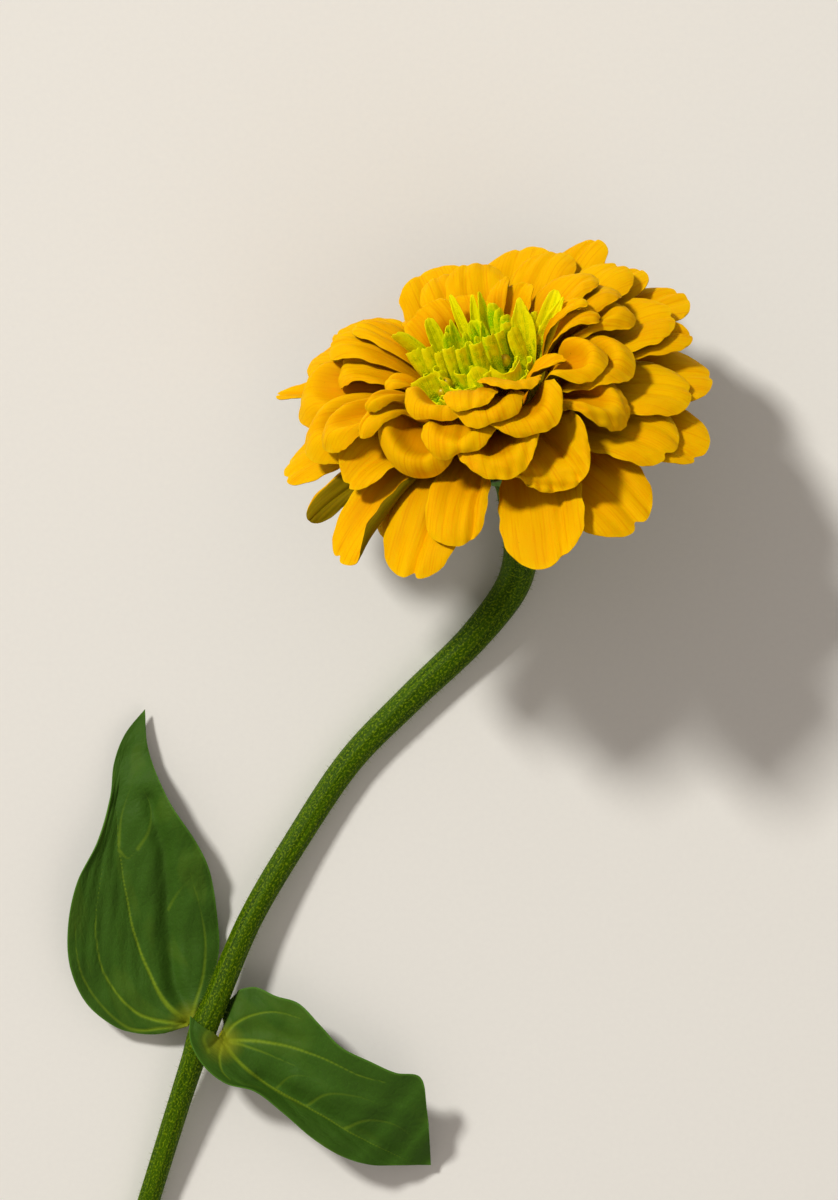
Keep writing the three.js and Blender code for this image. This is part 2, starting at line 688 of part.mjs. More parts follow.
function mesh(name, made, colour, roughness) {
  const { vertProperties, triVerts } = made.getMesh();
  const geometry = new THREE.BufferGeometry();
  geometry.setAttribute("position", new THREE.BufferAttribute(vertProperties, 3));
  geometry.setIndex(new THREE.BufferAttribute(triVerts, 1));
  geometry.translate(TO_ORIGIN.x, TO_ORIGIN.y, TO_ORIGIN.z);
  geometry.computeVertexNormals();
  const material = new THREE.MeshStandardMaterial({ color: colour, roughness, metalness: 0 });
  const shown = new THREE.Mesh(geometry, material);
  shown.name = name;
  return shown;
}

const flower = new THREE.Group();
flower.add(
  mesh("ray_petals", rayPetals(), 0xf2a900, 0.6),
  mesh("disc_florets", discFlorets(), 0xa8c71c, 0.55),
  mesh("involucre", involucre(), 0x4f7a2b, 0.65),
  mesh("stem", stem(), 0x3f7a1e, 0.6),
  mesh("leaf_left", leaf(LEAF_LEFT), 0x1f5423, 0.55),
  mesh("leaf_right", leaf(LEAF_RIGHT), 0x1f5423, 0.55),
);

export default flower;
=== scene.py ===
import math

import bpy
import numpy as np
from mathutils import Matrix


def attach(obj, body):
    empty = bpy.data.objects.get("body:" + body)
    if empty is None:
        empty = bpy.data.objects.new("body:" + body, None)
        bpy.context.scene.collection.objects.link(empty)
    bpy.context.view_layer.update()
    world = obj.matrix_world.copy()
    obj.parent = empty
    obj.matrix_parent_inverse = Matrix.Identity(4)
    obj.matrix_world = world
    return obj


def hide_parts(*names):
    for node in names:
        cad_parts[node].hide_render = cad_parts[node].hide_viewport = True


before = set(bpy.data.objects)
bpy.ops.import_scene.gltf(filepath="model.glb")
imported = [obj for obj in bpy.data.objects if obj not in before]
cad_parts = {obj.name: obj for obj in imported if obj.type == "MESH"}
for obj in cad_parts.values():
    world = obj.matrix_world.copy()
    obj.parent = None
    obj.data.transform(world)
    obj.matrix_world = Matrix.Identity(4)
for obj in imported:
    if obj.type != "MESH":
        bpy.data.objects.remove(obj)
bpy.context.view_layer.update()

# A cut zinnia lying on a pale table: its fine petals, florets, bracts, stem, leaves and hairs over the frame.
# Sizes are in millimetres up to the point where a mesh is made, which is in metres.
MM = 0.001

# The photograph laid down on the table: X is right in it, Y is up in it, and Z rises to its viewpoint.
VIEW_HEIGHT = 900.0
HEAD_HEIGHT = 35.0
MM_PER_PIXEL = 0.2
MM_PER_PIXEL_PER_MM = MM_PER_PIXEL / (VIEW_HEIGHT - HEAD_HEIGHT)
PHOTO_MIDDLE = (419, 600)
PHOTO_HEIGHT = 1200
TO_ORIGIN = np.array([7.5, 36.0, 0.0])

# The head: where its axis crosses the level of the outermost petals, and how it is turned.
HEAD_POINT = (494, 421)
HEAD_TILT = math.radians(18)
HEAD_RISE = math.radians(38)
DISC_LEVEL = 9.0
DISC_RADIUS = 11.1
RECEPTACLE_LEVEL = -1.9
CUP_SIDES = 48
NECK_LEVEL = -13.8

PETAL_THICKNESS = 0.36
FLORET_THICKNESS = 0.3
BRACT_THICKNESS = 0.5
LEAF_THICKNESS = 0.45
GAP = 0.3
LEAST_HEIGHT = 0.02


def photo_point(x, y, z):
    """Where a point of the photograph lies at a height over the table."""
    scale = MM_PER_PIXEL_PER_MM * (VIEW_HEIGHT - z)
    return np.array([(x - PHOTO_MIDDLE[0]) * scale, (PHOTO_MIDDLE[1] - y) * scale, z])


AXIS = np.array([
    -math.sin(HEAD_TILT) * math.cos(HEAD_RISE),
    math.cos(HEAD_TILT) * math.cos(HEAD_RISE),
    math.sin(HEAD_RISE),
])
RIGHT = np.array([math.cos(HEAD_TILT), math.sin(HEAD_TILT), 0.0])
HEAD_TURN = np.array([RIGHT, np.cross(AXIS, RIGHT), AXIS])
HEAD = photo_point(*HEAD_POINT, HEAD_HEIGHT)


def in_head(points):
    """Points of the head's own frame, put where the head is."""
    return HEAD + points @ HEAD_TURN


def at_level(spot, level):
    """Where the line of sight through a point of the photograph meets a level of the head."""
    eye = HEAD_TURN @ (np.array([0, 0, VIEW_HEIGHT]) - HEAD)
    ray = HEAD_TURN @ (photo_point(*spot, 0) - HEAD) - eye
    return eye + ray * (level - eye[2]) / ray[2]


def around_axis(radius, turn, level):
    return np.array([radius * math.cos(turn), radius * math.sin(turn), level])


def ease(low, high, value):
    """0 up to low and 1 from high, with a smooth rise between."""
    t = np.clip((value - low) / (high - low), 0, 1)
    return t * t * (3 - 2 * t)


def blade_places(rows, columns):
    """Places along a blade, from 0 at its root to 1, and across it, from -1 to 1."""
    return np.linspace(0, 1, rows + 1)[:, None], np.linspace(-1, 1, columns + 1)[None, :]


def distances_along(line):
    return np.concatenate([[0], np.cumsum(np.linalg.norm(np.diff(line, axis=0), axis=1))])


def seeded(seed):
    """Numbers between two limits in a fixed order, for what a plant varies."""
    factor, step, size = 1664525, 1013904223, 2 ** 32
    state = [seed]

    def draw(low, high):
        state[0] = (state[0] * factor + step) % size
        return low + (high - low) * (state[0] / size)

    return draw


# Each ring of petals, from the outermost: the radius and level of its roots, and its form. arch is how high
# the middle line bows, curl the angle that the tip turns down, cup how far the sides rise, roll how far the
# margin turns down, notch how deep the tip is cut, and ruffle how high the margin's waves are.
RINGS = [
    dict(root=9.0, root_level=-1.0, arch=2.6, curl=8, cup=0.9, roll=0.8, notch=1.0, ruffle=0.05),
    dict(root=9.6, root_level=1.4, arch=2.8, curl=12, cup=0.9, roll=1.1, notch=0.8, ruffle=0.07),
    dict(root=10.6, root_level=4.2, arch=3.0, curl=38, cup=1.4, roll=1.9, notch=0.5, ruffle=0.12),
    dict(root=11.6, root_level=7.0, arch=2.4, curl=55, cup=1.5, roll=2.3, notch=0.3, ruffle=0.14),
    dict(root=12.2, root_level=9.6, arch=1.6, curl=60, cup=1.3, roll=1.8, notch=0.2, ruffle=0.14),
]
OUTER_RINGS = 2
# lag is how far round the axis the root stands from the tip. end is the rounded tip's length as a share of
# half the width, and blunt is how much of the width the grid's last row takes there. bank tilts the blade all
# along, and twist more and more to its tip.
# lip turns a margin up: on the left with side -1, on the right with 1, and all round with 0.
# bead is the height of a rounded swelling that runs inside the margin round a hollow.
# A pleat is its place across the petal, its depth, and how deep it cuts into the tip.
# fold bends a margin up and over: its side, where it starts, and the angle.
# olive is how far the petal's face takes its back's colour, all but at its left margin.
PLAIN_PETAL = dict(
    lag=0, end=1.15, blunt=0.8, twist=0, bank=0, lip=0, side=0, bead=0, pleats=None, fold=None, olive=0,
)


def petal(ring, tip, level, width, more):
    return {**PLAIN_PETAL, **RINGS[ring], "ring": ring, "tip": tip, "level": level, "width": width, **more}


def seen_petal(ring, spot, level, width, **more):
    """A petal whose tip is seen at a spot of the photograph, at a level of the head."""
    return petal(ring, at_level(spot, level), level, width, more)


def hidden_petal(ring, azimuth, radius, level, width):
    """A petal that the photograph hides. Azimuth 0 is right in the photograph, and 90 is the far side."""
    return petal(ring, around_axis(radius, math.radians(azimuth), level), level, width, {})


# In the order in which they are laid: the far ones, where the head rests on the first four, those that show,
# and last the short ones behind the florets.
PETALS = [
    hidden_petal(0, 52, 50, -11, 16),
    hidden_petal(0, 72, 48, -8, 15.5),
    hidden_petal(0, 91, 48, -7.5, 15.5),
    hidden_petal(0, 112, 48, -9, 16),
    hidden_petal(1, 150, 38, -2, 16.5),
    hidden_petal(1, 216, 34, -6, 16.5),
    seen_petal(0, (407, 578), -5.5, 16.5, pleats=((0.08, 1.1, 1.6), (-0.5, 0.3, 0))),
    seen_petal(0, (638, 528), -7, 19, pleats=((0.12, 0.7, 1.7), (-0.35, 0.4, 0), (0.55, 0.4, 0))),
    seen_petal(0, (549, 567), -5.5, 17, lag=60, lip=1.6, side=1,
               pleats=((0.42, 0.8, 1.0), (0.05, 0.3, 0))),
    seen_petal(0, (709, 447), -5, 17, pleats=((-0.45, 0.5, 1.2),)),
    seen_petal(0, (713, 376), -1, 19, pleats=((0.1, 0.5, 0.5),)),
    seen_petal(0, (685, 292), 6, 16, pleats=((0.3, 0.7, 0.4), (-0.2, 0.5, 0))),
    seen_petal(0, (642, 267), 10, 11, pleats=((0.2, 0.4, 0),)),
    seen_petal(0, (597, 237), 13, 11.5, end=1.6, blunt=0.6, pleats=((0.2, 0.4, 0),)),
    seen_petal(0, (524, 245), 13, 16),
    seen_petal(0, (427, 267), 14, 17, pleats=((0.3, 0.5, 0.3),)),
    seen_petal(0, (278, 397), 1, 5.6, end=2.4, blunt=0.5, lip=1.2),
    seen_petal(0, (282, 472), -2.5, 15, pleats=((0.3, 0.3, 0.9), (-0.45, 0.3, 0.5))),
    seen_petal(0, (307, 520), -4, 5.8, end=1.7, blunt=0.6, twist=-25, bank=-10, olive=0.95,
               pleats=((0.1, 0.5, 0),)),
    seen_petal(0, (339, 562), -5.5, 15, end=1.4, blunt=0.7, cup=1.4, fold=(1, 0.4, 150)),
    seen_petal(1, (451, 546), -0.5, 12.6, pleats=((0.62, 0.9, 0.7), (0.2, 0.35, 0), (-0.35, 0.3, 0))),
    seen_petal(1, (677, 450), -1, 17, pleats=((-0.25, 0.5, 1.2), (0.35, 0.4, 0))),
    seen_petal(1, (693, 395), 2, 17, pleats=((0.25, 0.6, 0.5), (-0.2, 0.4, 0))),
    seen_petal(1, (693, 333), 6, 10, end=1.9, blunt=0.6, pleats=((0.25, 0.6, 0),)),
    seen_petal(1, (674, 312), 9.5, 16, lip=0.9, side=1),
    seen_petal(1, (625, 262), 14, 14),
    seen_petal(1, (558, 248), 15.5, 13.5, pleats=((0.1, 0.4, 0.2), (0.6, 0.4, 0))),
    seen_petal(1, (439, 271), 16, 11.5, pleats=((0.15, 0.4, 0.2), (-0.4, 0.35, 0))),
    seen_petal(1, (474, 261), 16.5, 12, pleats=((0.3, 0.35, 0.2), (-0.3, 0.3, 0))),
    seen_petal(1, (311, 353), 7, 14.5, lag=4, roll=1.4, pleats=((-0.3, 0.4, 0.2),)),
    seen_petal(1, (295, 401), 5.5, 17, roll=2.4, bead=1.6, pleats=((0.1, 0.4, 0.2),)),
    seen_petal(1, (337, 328), 12, 13.5, bank=4, lag=-4, end=1.8, blunt=0.5, arch=3.6, roll=0.8,
               pleats=((0.2, 0.4, 0),)),
    seen_petal(1, (300, 445), 7.5, 17.5, roll=2.2, bead=1.4, pleats=((-0.1, 0.35, 0.3),)),
    seen_petal(1, (345, 487), 4.5, 12, lip=0.9, side=1),
    seen_petal(2, (339, 379), 9, 10, bank=6, roll=1.4, pleats=((-0.2, 0.4, 0),)),
    seen_petal(2, (335, 355), 10.5, 10.5, bank=8, lag=-3, roll=1.4, arch=1.8, curl=20, ruffle=0.04,
               pleats=((0.3, 0.4, 0), (-0.15, 0.3, 0))),
    seen_petal(2, (361, 336), 13, 9, bank=8, lag=0, roll=1.4, arch=2.4, curl=20, ruffle=0.04,
               pleats=((0.3, 0.4, 0), (-0.2, 0.4, 0))),
    seen_petal(2, (320, 447), 11, 11, bead=1.2, roll=1.2, pleats=((-0.3, 0.3, 0),)),
    seen_petal(2, (421, 479), 6.5, 18.5, lag=-25, cup=1.6, roll=1.3, bead=2.8, pleats=((0.15, 0.4, 0),)),
    seen_petal(2, (568, 489), 3, 16.5, cup=1.2, roll=0.6, lip=4.2, side=1, bead=1.4, ruffle=0.4,
               pleats=((0.32, 1.2, 0), (-0.3, 0.3, 0.2))),
    seen_petal(2, (509, 480), 9, 17.5, cup=2.2, roll=0.9, lip=1.6, bead=1.8, ruffle=0.26,
               pleats=((-0.3, 0.5, 0.4),)),
    seen_petal(2, (627, 427), 6, 13.5, roll=1.2, bead=1.9, ruffle=0.34, pleats=((0.4, 0.3, 0),)),
    seen_petal(2, (355, 434), 16, 5, end=2.2, blunt=0.5),
    seen_petal(3, (362, 413), 19, 3.4, end=2.2, blunt=0.5),
    seen_petal(2, (635, 369), 11, 16.5, curl=10, cup=1.6, roll=1.4, lip=1.0, side=1, bead=2.6,
               pleats=((-0.2, 0.3, 0),)),
    seen_petal(2, (637, 313), 14, 9, roll=1.2, bead=0.9, bank=4),
    seen_petal(2, (622, 286), 16.5, 11),
    seen_petal(2, (596, 272), 18.5, 12, pleats=((-0.3, 0.4, 0),)),
    seen_petal(3, (459, 464), 13.5, 15.5, cup=2.0, roll=1.4, bead=1.2,
               pleats=((0.05, 0.8, 0), (-0.5, 0.3, 0))),
    seen_petal(3, (543, 440), 13.5, 17, cup=2.0, roll=0.9, lip=1.8, side=1, bead=1.8, ruffle=0.1),
    seen_petal(3, (607, 369), 14.5, 13, curl=10, cup=1.4, roll=1.4, lip=1.0, side=1, bead=2.6,
               pleats=((-0.2, 0.3, 0),)),
    seen_petal(3, (432, 426), 17.5, 17, cup=2.0, roll=1.4, bead=1.6, pleats=((0.3, 0.5, 0),)),
    seen_petal(3, (603, 315), 18.5, 4.4, roll=1.2),
    seen_petal(4, (497, 431), 18, 14, cup=1.4, roll=1.2, bead=0.9),
    seen_petal(4, (477, 431), 17.5, 10.5, cup=0.9, roll=0.9, arch=0.8),
    seen_petal(4, (524, 395), 20, 12.5, curl=30, cup=0.5, roll=0.8, arch=1.6, bank=-8),
    seen_petal(4, (566, 359), 16.5, 8.5, lag=-28, curl=15, arch=1.0, cup=0.6, roll=0.6, bank=10),
    seen_petal(4, (591, 302), 20.5, 4.2, roll=0.8),
    seen_petal(4, (409, 318), 14.5, 6.5, curl=25, roll=0.8),
    seen_petal(4, (381, 384), 14, 5, curl=20),
    hidden_petal(4, 73, 21, 12.5, 12),
    hidden_petal(4, 92, 21, 12, 12),
    hidden_petal(4, 111, 21, 12.5, 12),
    seen_petal(4, (526, 281), 18.5, 7.5, end=1.7, blunt=0.5, curl=25, arch=1.2, roll=0.6,
               pleats=((0.1, 0.3, 0),)),
    seen_petal(4, (504, 277), 19.5, 4.2, end=2.0, blunt=0.5, curl=20, arch=1.2, roll=0.6,
               pleats=((0.1, 0.3, 0),)),
]

# Rows and columns of the petals' grids, while they are laid on each other and in the end, and the cells and
# half the width of the map that they are laid on.
LAYING_CELLS = (20, 14)
FINE_CELLS = (44, 28)
MAP_CELL, MAP_SPAN = 0.6, 60.0
PETAL_SPACING = 1.15
MOST_LIFT = 6
TABLE_LIFT = 0.24
TABLE_SOFT = 2.0
# The most that the patterns of two petals or two florets are moved apart, so that no two look the same.
PATTERN_SHIFT, FLORET_SHIFT = 40, 31
# In shares of a petal's half width: its pleats and notches, its foot, and where its margin's forms begin.
PLEAT_WIDTH, NOTCH_WIDTH, FOOT_WIDTH = 0.12, 0.13, 0.34
ROLL_FROM, LIP_FROM, SWELLING_AT, SWELLING_WIDTH = 0.6, 0.5, 0.72, 0.2
# In shares of its length: its longest tip, and where its foot is as wide as the blade.
LONGEST_TIP, FOOT_TO = 0.6, 0.62


def side_line(reach, rise, arch, curl):
    """A petal's middle line seen from its side: shares of its length, points, slopes, and its length."""
    steps = 60
    curl_from = 0.6
    bow_at = 0.45
    chord = np.array([reach, rise])
    square = np.array([-rise, reach]) / np.hypot(reach, rise)
    bow = chord * bow_at + square * 2 * arch
    u = np.linspace(0, 1, steps + 1)[:, None]
    run = 2 * (1 - u) * bow + 2 * u * (chord - bow)
    speed = np.hypot(run[:, 0], run[:, 1])
    arc = np.concatenate([[0], np.cumsum((speed[1:] + speed[:-1]) / 2 / steps)])
    share = arc / arc[-1]
    slope = np.arctan2(run[:, 1], run[:, 0])
    slope = slope - curl * np.clip((share - curl_from) / (1 - curl_from), 0, 1) ** 1.4
    middle = (slope[1:] + slope[:-1]) / 2
    made = np.stack([np.cos(middle), np.sin(middle)], 1) * np.diff(arc)[:, None]
    line = np.concatenate([[[0, 0]], np.cumsum(made, 0)])
    # Turned and stretched so that the tip still lands where it is meant to.
    turn = math.atan2(rise, reach) - math.atan2(line[-1, 1], line[-1, 0])
    stretch = np.hypot(reach, rise) / np.hypot(*line[-1])
    turned_by = np.array([[math.cos(turn), math.sin(turn)], [-math.sin(turn), math.cos(turn)]])
    return share, line @ turned_by * stretch, slope + turn, arc[-1] * stretch


def petal_outline(form, length, s, t):
    """A petal laid flat, with a narrow foot and a rounded, notched tip: places across and along it in mm."""
    half = form["width"] / 2
    end_length = min(form["end"] * half, LONGEST_TIP * length)
    corner = math.sqrt(1 - form["blunt"] ** 2)
    shoulder = length - end_length * (1 - corner)
    edge = s * shoulder
    foot = FOOT_WIDTH + (1 - FOOT_WIDTH) * ease(0, FOOT_TO * length, edge)
    rounding = np.sqrt(np.clip(1 - np.clip((edge - length + end_length) / end_length, 0, 1) ** 2, 0, 1))
    arc = (np.sqrt(1 - (form["blunt"] * t) ** 2) - corner) / (1 - corner)
    dent = sum(notch * np.exp(-(((t - place) / NOTCH_WIDTH) ** 2)) for place, _, notch in form["pleats"])
    along = np.clip(s * (shoulder + (length - shoulder) * arc) - dent * s ** 8, 0, length)
    return half * foot * rounding * t * (1 + 0.02 * np.sin(1.3 * edge + form["phase"])), along


def petal_relief(form, t, x, along, length):
    """How far a petal stands off its middle line, cupped, rolled, pleated and ruffled, and its hollow, where
    its skin paints shade.
    out and way are shares of its half width and its length, and rim is 1 at its margin."""
    out = x / (form["width"] / 2)
    way = along / length
    phase = form["phase"]
    free = ease(0.15, 0.5, way)
    rim = np.sqrt((0.95 * out) ** 2 + (np.clip(way - 0.55, 0, 1) / 0.45) ** 2)
    height = form["cup"] * out * out * ease(0, 0.3, way) * (1 - 0.6 * ease(0.7, 1, way))
    height -= form["roll"] * np.clip((rim - ROLL_FROM) / (1 - ROLL_FROM), 0, 1.2) ** 2 * free
    kept = 1 if form["side"] == 0 else ease(-0.35, 0.45, form["side"] * out)
    lip = np.clip((rim - LIP_FROM) / (1 - LIP_FROM), 0, 1.1) ** 1.7
    height += form["lip"] * lip * kept * ease(0.3, 0.6, way)
    swelling = np.exp(-(((rim - SWELLING_AT) / SWELLING_WIDTH) ** 2)) * ease(0.25, 0.55, way)
    height += form["bead"] * swelling * (0.35 + 0.65 * kept)
    for place, depth, _ in form["pleats"]:
        height -= depth * np.exp(-(((t - place) / PLEAT_WIDTH) ** 2)) * ease(0.05, 0.55, way)
    waves = np.sin(2.3 * x + 1.1 * along + phase) + 0.6 * np.sin(-1.6 * x + 2.7 * along + 2 * phase)
    height += form["ruffle"] * waves * ease(0.55, 1, rim) * free
    sway = np.sin(0.35 * along + phase) * out + 0.5 * np.sin(0.5 * x + 0.3 * along + 2 * phase)
    hollow = min(1, form["bead"] / 2) * (1 - ease(0.4, 0.7, rim)) * ease(0.15, 0.4, way)
    return height + form["sway"] * sway * free, hollow


def petal_grid(form, cells):
    """A petal's middle surface in the head's frame, its points' places across and along, and its hollow."""
    tip, root_level = form["tip"], form["root_level"]
    root_turn = math.atan2(tip[1], tip[0]) + math.radians(form["lag"])
    root = around_axis(form["root"], root_turn, root_level)
    out = np.array([tip[0] - root[0], tip[1] - root[1], 0])
    reach = np.hypot(out[0], out[1])
    out = out / reach
    across = np.array([-out[1], out[0], 0])
    curl = math.radians(form["curl"])
    share, line, slope, length = side_line(reach, form["level"] - root_level, form["arch"], curl)
    s, t = blade_places(*cells)
    x, along = petal_outline(form, length, s, t)
    height, hollow = petal_relief(form, t, x, along, length)
    flat, way = x, along / length
    if form["fold"]:
        side, start, angle = form["fold"]
        half = form["width"] / 2
        radius = (1 - start) * half / math.radians(angle)
        past = np.maximum(side * x - start * half, 0)
        flat = x + side * (radius * np.sin(past / radius) - past)
        height = height + radius * (1 - np.cos(past / radius))
    turn = math.radians(form["twist"]) * way + math.radians(form["bank"]) * ease(0, 0.35, way)
    sideways = flat * np.cos(turn) - height * np.sin(turn)
    lift = flat * np.sin(turn) + height * np.cos(turn)
    angle = np.interp(way, share, slope)
    outward = np.interp(way, share, line[:, 0]) - np.sin(angle) * lift
    level = np.interp(way, share, line[:, 1]) + np.cos(angle) * lift
    grid = root + outward[..., None] * out + sideways[..., None] * across
    grid[..., 2] = root_level + level
    return grid, x, along, hollow


def finer(grid, parts):
    """The grid with each cell split into parts by straight lines."""
    for axis in (0, 1):
        count = grid.shape[axis]
        place = np.linspace(0, count - 1, (count - 1) * parts + 1)
        low = np.minimum(place.astype(int), count - 2)
        share = (place - low).reshape([-1 if k == axis else 1 for k in range(grid.ndim)])
        grid = np.take(grid, low, axis) * (1 - share) + np.take(grid, low + 1, axis) * share
    return grid


def spread(lift, need, times):
    """Evens out a lift, which stays at least what is needed, and nothing at the root."""
    for _ in range(times):
        padded = np.pad(lift, 1, mode="edge")
        padded[0] = 0
        around = padded[:-2, 1:-1] + padded[2:, 1:-1] + padded[1:-1, :-2] + padded[1:-1, 2:]
        lift = np.maximum(need, (around + 2 * lift) / 6)
    return lift


def lay_petals(forms):
    """The lift of each petal off those laid before it, from a map of the highest level so far."""
    side = int(2 * MAP_SPAN / MAP_CELL)
    laid = np.full((side, side), -99.0)
    lifts = []
    for form in forms:
        grid = petal_grid(form, LAYING_CELLS)[0]
        spot = np.clip(((grid[..., :2] + MAP_SPAN) / MAP_CELL).astype(int), 1, side - 2)
        near = [laid[spot[..., 0] + a, spot[..., 1] + b] for a in (-1, 0, 1) for b in (-1, 0, 1)]
        free = ease(0.12, 0.4, blade_places(*LAYING_CELLS)[0])
        need = np.clip(np.max(near, 0) + PETAL_SPACING - grid[..., 2], 0, MOST_LIFT) * free
        lifts.append(spread(need, need, times=30))
        grid[..., 2] += lifts[-1]
        dense = finer(grid, 4).reshape(-1, 3)
        place = np.clip(((dense[:, :2] + MAP_SPAN) / MAP_CELL).astype(int), 0, side - 1)
        np.maximum.at(laid, (place[:, 0], place[:, 1]), dense[:, 2])
    return lifts


def resampled(values, cells):
    """A field on a coarse grid, read at a finer grid's points and evened."""
    for count in cells:
        given = np.linspace(0, 1, values.shape[0])
        wanted = np.linspace(0, 1, count + 1)
        values = np.array([np.interp(wanted, given, column) for column in values.T])
    return spread(values, np.zeros_like(values), times=6)


def lie_on_table(points):
    """What would dip through the table lies along it."""
    soft = TABLE_SOFT - TABLE_LIFT
    eased = TABLE_LIFT + soft * np.exp((points[..., 2] - TABLE_SOFT) / soft)
    points[..., 2] = np.where(points[..., 2] < TABLE_SOFT, eased, points[..., 2])
    return points


def slab(grid, thickness, uv, marks):
    """A closed thin blade round a middle surface, thinner at its rim. marks are values for its material. Each
    point's reach along the blade, its nearness to the edge, and 1 for the underside come with them."""
    rows, columns = grid.shape[:2]
    normal = np.cross(np.gradient(grid, axis=0), np.gradient(grid, axis=1))
    normal /= np.linalg.norm(normal, axis=-1, keepdims=True) + 1e-12
    s, t = blade_places(rows - 1, columns - 1)
    edge = np.maximum(s, np.abs(t))
    half = thickness / 2 * (0.4 + 0.6 * np.sqrt(1 - edge ** 12))[..., None]
    size = rows * columns
    index = np.arange(size).reshape(rows, columns)
    a, b, c, d = index[:-1, :-1], index[:-1, 1:], index[1:, 1:], index[1:, :-1]
    upper = np.stack([a, d, c, b], -1).reshape(-1, 4)
    rim = np.concatenate([index[0, :-1], index[:-1, -1], index[-1, :0:-1], index[:0:-1, 0]])
    after = np.roll(rim, -1)
    wall = np.stack([rim, after, size + after, size + rim], -1)
    faces = np.concatenate([upper, size + upper[:, ::-1], wall])
    points = np.concatenate([(grid + normal * half).reshape(-1, 3), (grid - normal * half).reshape(-1, 3)])
    marks = {"reach": s, "edge": edge, "under": 0.0, **marks}
    kept = {}
    for name, value in marks.items():
        kept[name] = np.tile(np.broadcast_to(value, (rows, columns)).ravel(), 2)
    kept["under"][size:] = 1.0
    places = np.tile(uv.reshape(-1, 2), (2, 1))
    return dict(points=points, faces=faces.tolist(), uv=places[faces.ravel()], marks=kept)


def turned(profile, segments, marks, middle=(0, 0, 0), furrow=0):
    """A turned shape in the head's frame, from points of radius and level that start and end on its axis.
    furrow is how deep five furrows cut into it, as a share of its radius."""
    ring = np.arange(segments) * 2 * math.pi / segments
    girth = 1 + furrow * np.cos(5 * ring)
    rows = []
    for r, h in profile:
        rows.append(np.stack([r * girth * np.cos(ring), r * girth * np.sin(ring), np.full(segments, h)], -1))
    points = middle + np.concatenate([rows[0][:1], *rows[1:-1], rows[-1][:1]])
    last = len(points) - 1
    faces = []
    for j in range(segments):
        k = (j + 1) % segments
        faces.append([0, 1 + k, 1 + j])
        for a in range(1, last - segments, segments):
            b = a + segments
            faces.append([a + j, a + k, b + k, b + j])
        faces.append([last, last - segments + j, last - segments + k])
    uv = points[np.concatenate(faces), :2]
    kept = {name: np.full(len(points), float(value)) for name, value in marks.items()}
    return dict(points=in_head(points), faces=faces, uv=uv, marks=kept)


def in_scene(name, data):
    """A new object, put in the scene."""
    made = bpy.data.objects.new(name, data)
    bpy.context.scene.collection.objects.link(made)
    return made


def make_piece(name, parts, material, node=None):
    """One mesh object from parts in mm, riding on the whole flower and standing for its CAD node. A mark that
    a part doesn't give is 0 there."""
    points, faces, uv = [], [], []
    count = 0
    for part in parts:
        points.append((part["points"] + TO_ORIGIN) * MM)
        faces += [[k + count for k in face] for face in part["faces"]]
        uv.append(part["uv"])
        count += len(part["points"])
    mesh = bpy.data.meshes.new(name)
    mesh.from_pydata(np.concatenate(points).tolist(), [], faces)
    for mark in sorted({name for part in parts for name in part["marks"]}):
        layer = mesh.attributes.new(mark, "FLOAT", "POINT")
        values = [part["marks"].get(mark, np.zeros(len(part["points"]))) for part in parts]
        layer.data.foreach_set("value", np.concatenate(values).astype("f"))
    mesh.uv_layers.new(name="blade").data.foreach_set("uv", np.concatenate(uv).astype("f").ravel())
    mesh.polygons.foreach_set("use_smooth", [True] * len(mesh.polygons))
    mesh.set_sharp_from_angle(angle=math.radians(50))
    mesh.materials.append(material)
    mesh.update()
    piece = in_scene(name, mesh)
    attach(piece, "root")
    if node:
        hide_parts(node)
    return piece


def petal_parts():
    """The outer and the inner petals' blades."""
    draw = seeded(11)
    for form in PETALS:
        form["phase"] = draw(0, 6.3)
        form["tint"] = draw(0, 1)
        form["sway"] = draw(0.15, 0.4)
        form["pleats"] = form["pleats"] or ((draw(-0.35, 0.35), draw(0.2, 0.45), form["notch"]),)
    outer, inner = [], []
    margin = ease(-0.92, -0.78, blade_places(*FINE_CELLS)[1])
    for form, lift in zip(PETALS, lay_petals(PETALS)):
        grid, x, along, hollow = petal_grid(form, FINE_CELLS)
        grid[..., 2] += resampled(lift, FINE_CELLS)
        # The hollow mark tells the skin where to paint shade.
        marks = {"tint": form["tint"], "hollow": hollow, "under": form["olive"] * margin}
        uv = np.stack([x + PATTERN_SHIFT * form["tint"], along], -1)
        part = slab(lie_on_table(in_head(grid)), PETAL_THICKNESS, uv, marks)
        (outer if form["ring"] < OUTER_RINGS else inner).append(part)
    return outer, inner


def receptacle():
    """The ring that the petals grow from, hidden under them."""
    profile = [
        (0, RECEPTACLE_LEVEL), (9.7, RECEPTACLE_LEVEL), (10.2, -1.2), (10.6, 1.4), (11.6, 4.2), (12.6, 7),
        (13.2, 9.4), (12.9, 10.2), (11.8, 10.3), (11.5, 9.6), (11.3, DISC_LEVEL - GAP), (0, DISC_LEVEL - GAP),
    ]
    return turned(profile, CUP_SIDES, {"reach": 0.3, "tint": 0.5, "under": 1})


# roll is half the angle of a floret's gutter, and face the azimuth of its rounded back: 270 is towards the
# viewer. taper 1 is a pointed lens, point is how much its middle leads, or its corners if negative, and bow
# bends it backwards.
PLAIN_FLORET = dict(roll=80, taper=0.0, point=0.4, bow=0.0, face=270)
FOOT_REACH = 10.6
FLORET_CELLS = (24, 14)
TOOTH = 0.28


def seen_floret(foot, tip, rise, width, gold, base=DISC_LEVEL + 1, **more):
    """A floret that shows: its foot and tip in the photograph, how far it rises along the head's axis, its
    width, and how yellow it is."""
    start = at_level(foot, base)
    start[:2] *= min(1, FOOT_REACH / np.hypot(*start[:2]))
    stop = at_level(tip, base + rise)
    return {**PLAIN_FLORET, "start": start, "stop": stop, "width": width, "gold": gold, **more}


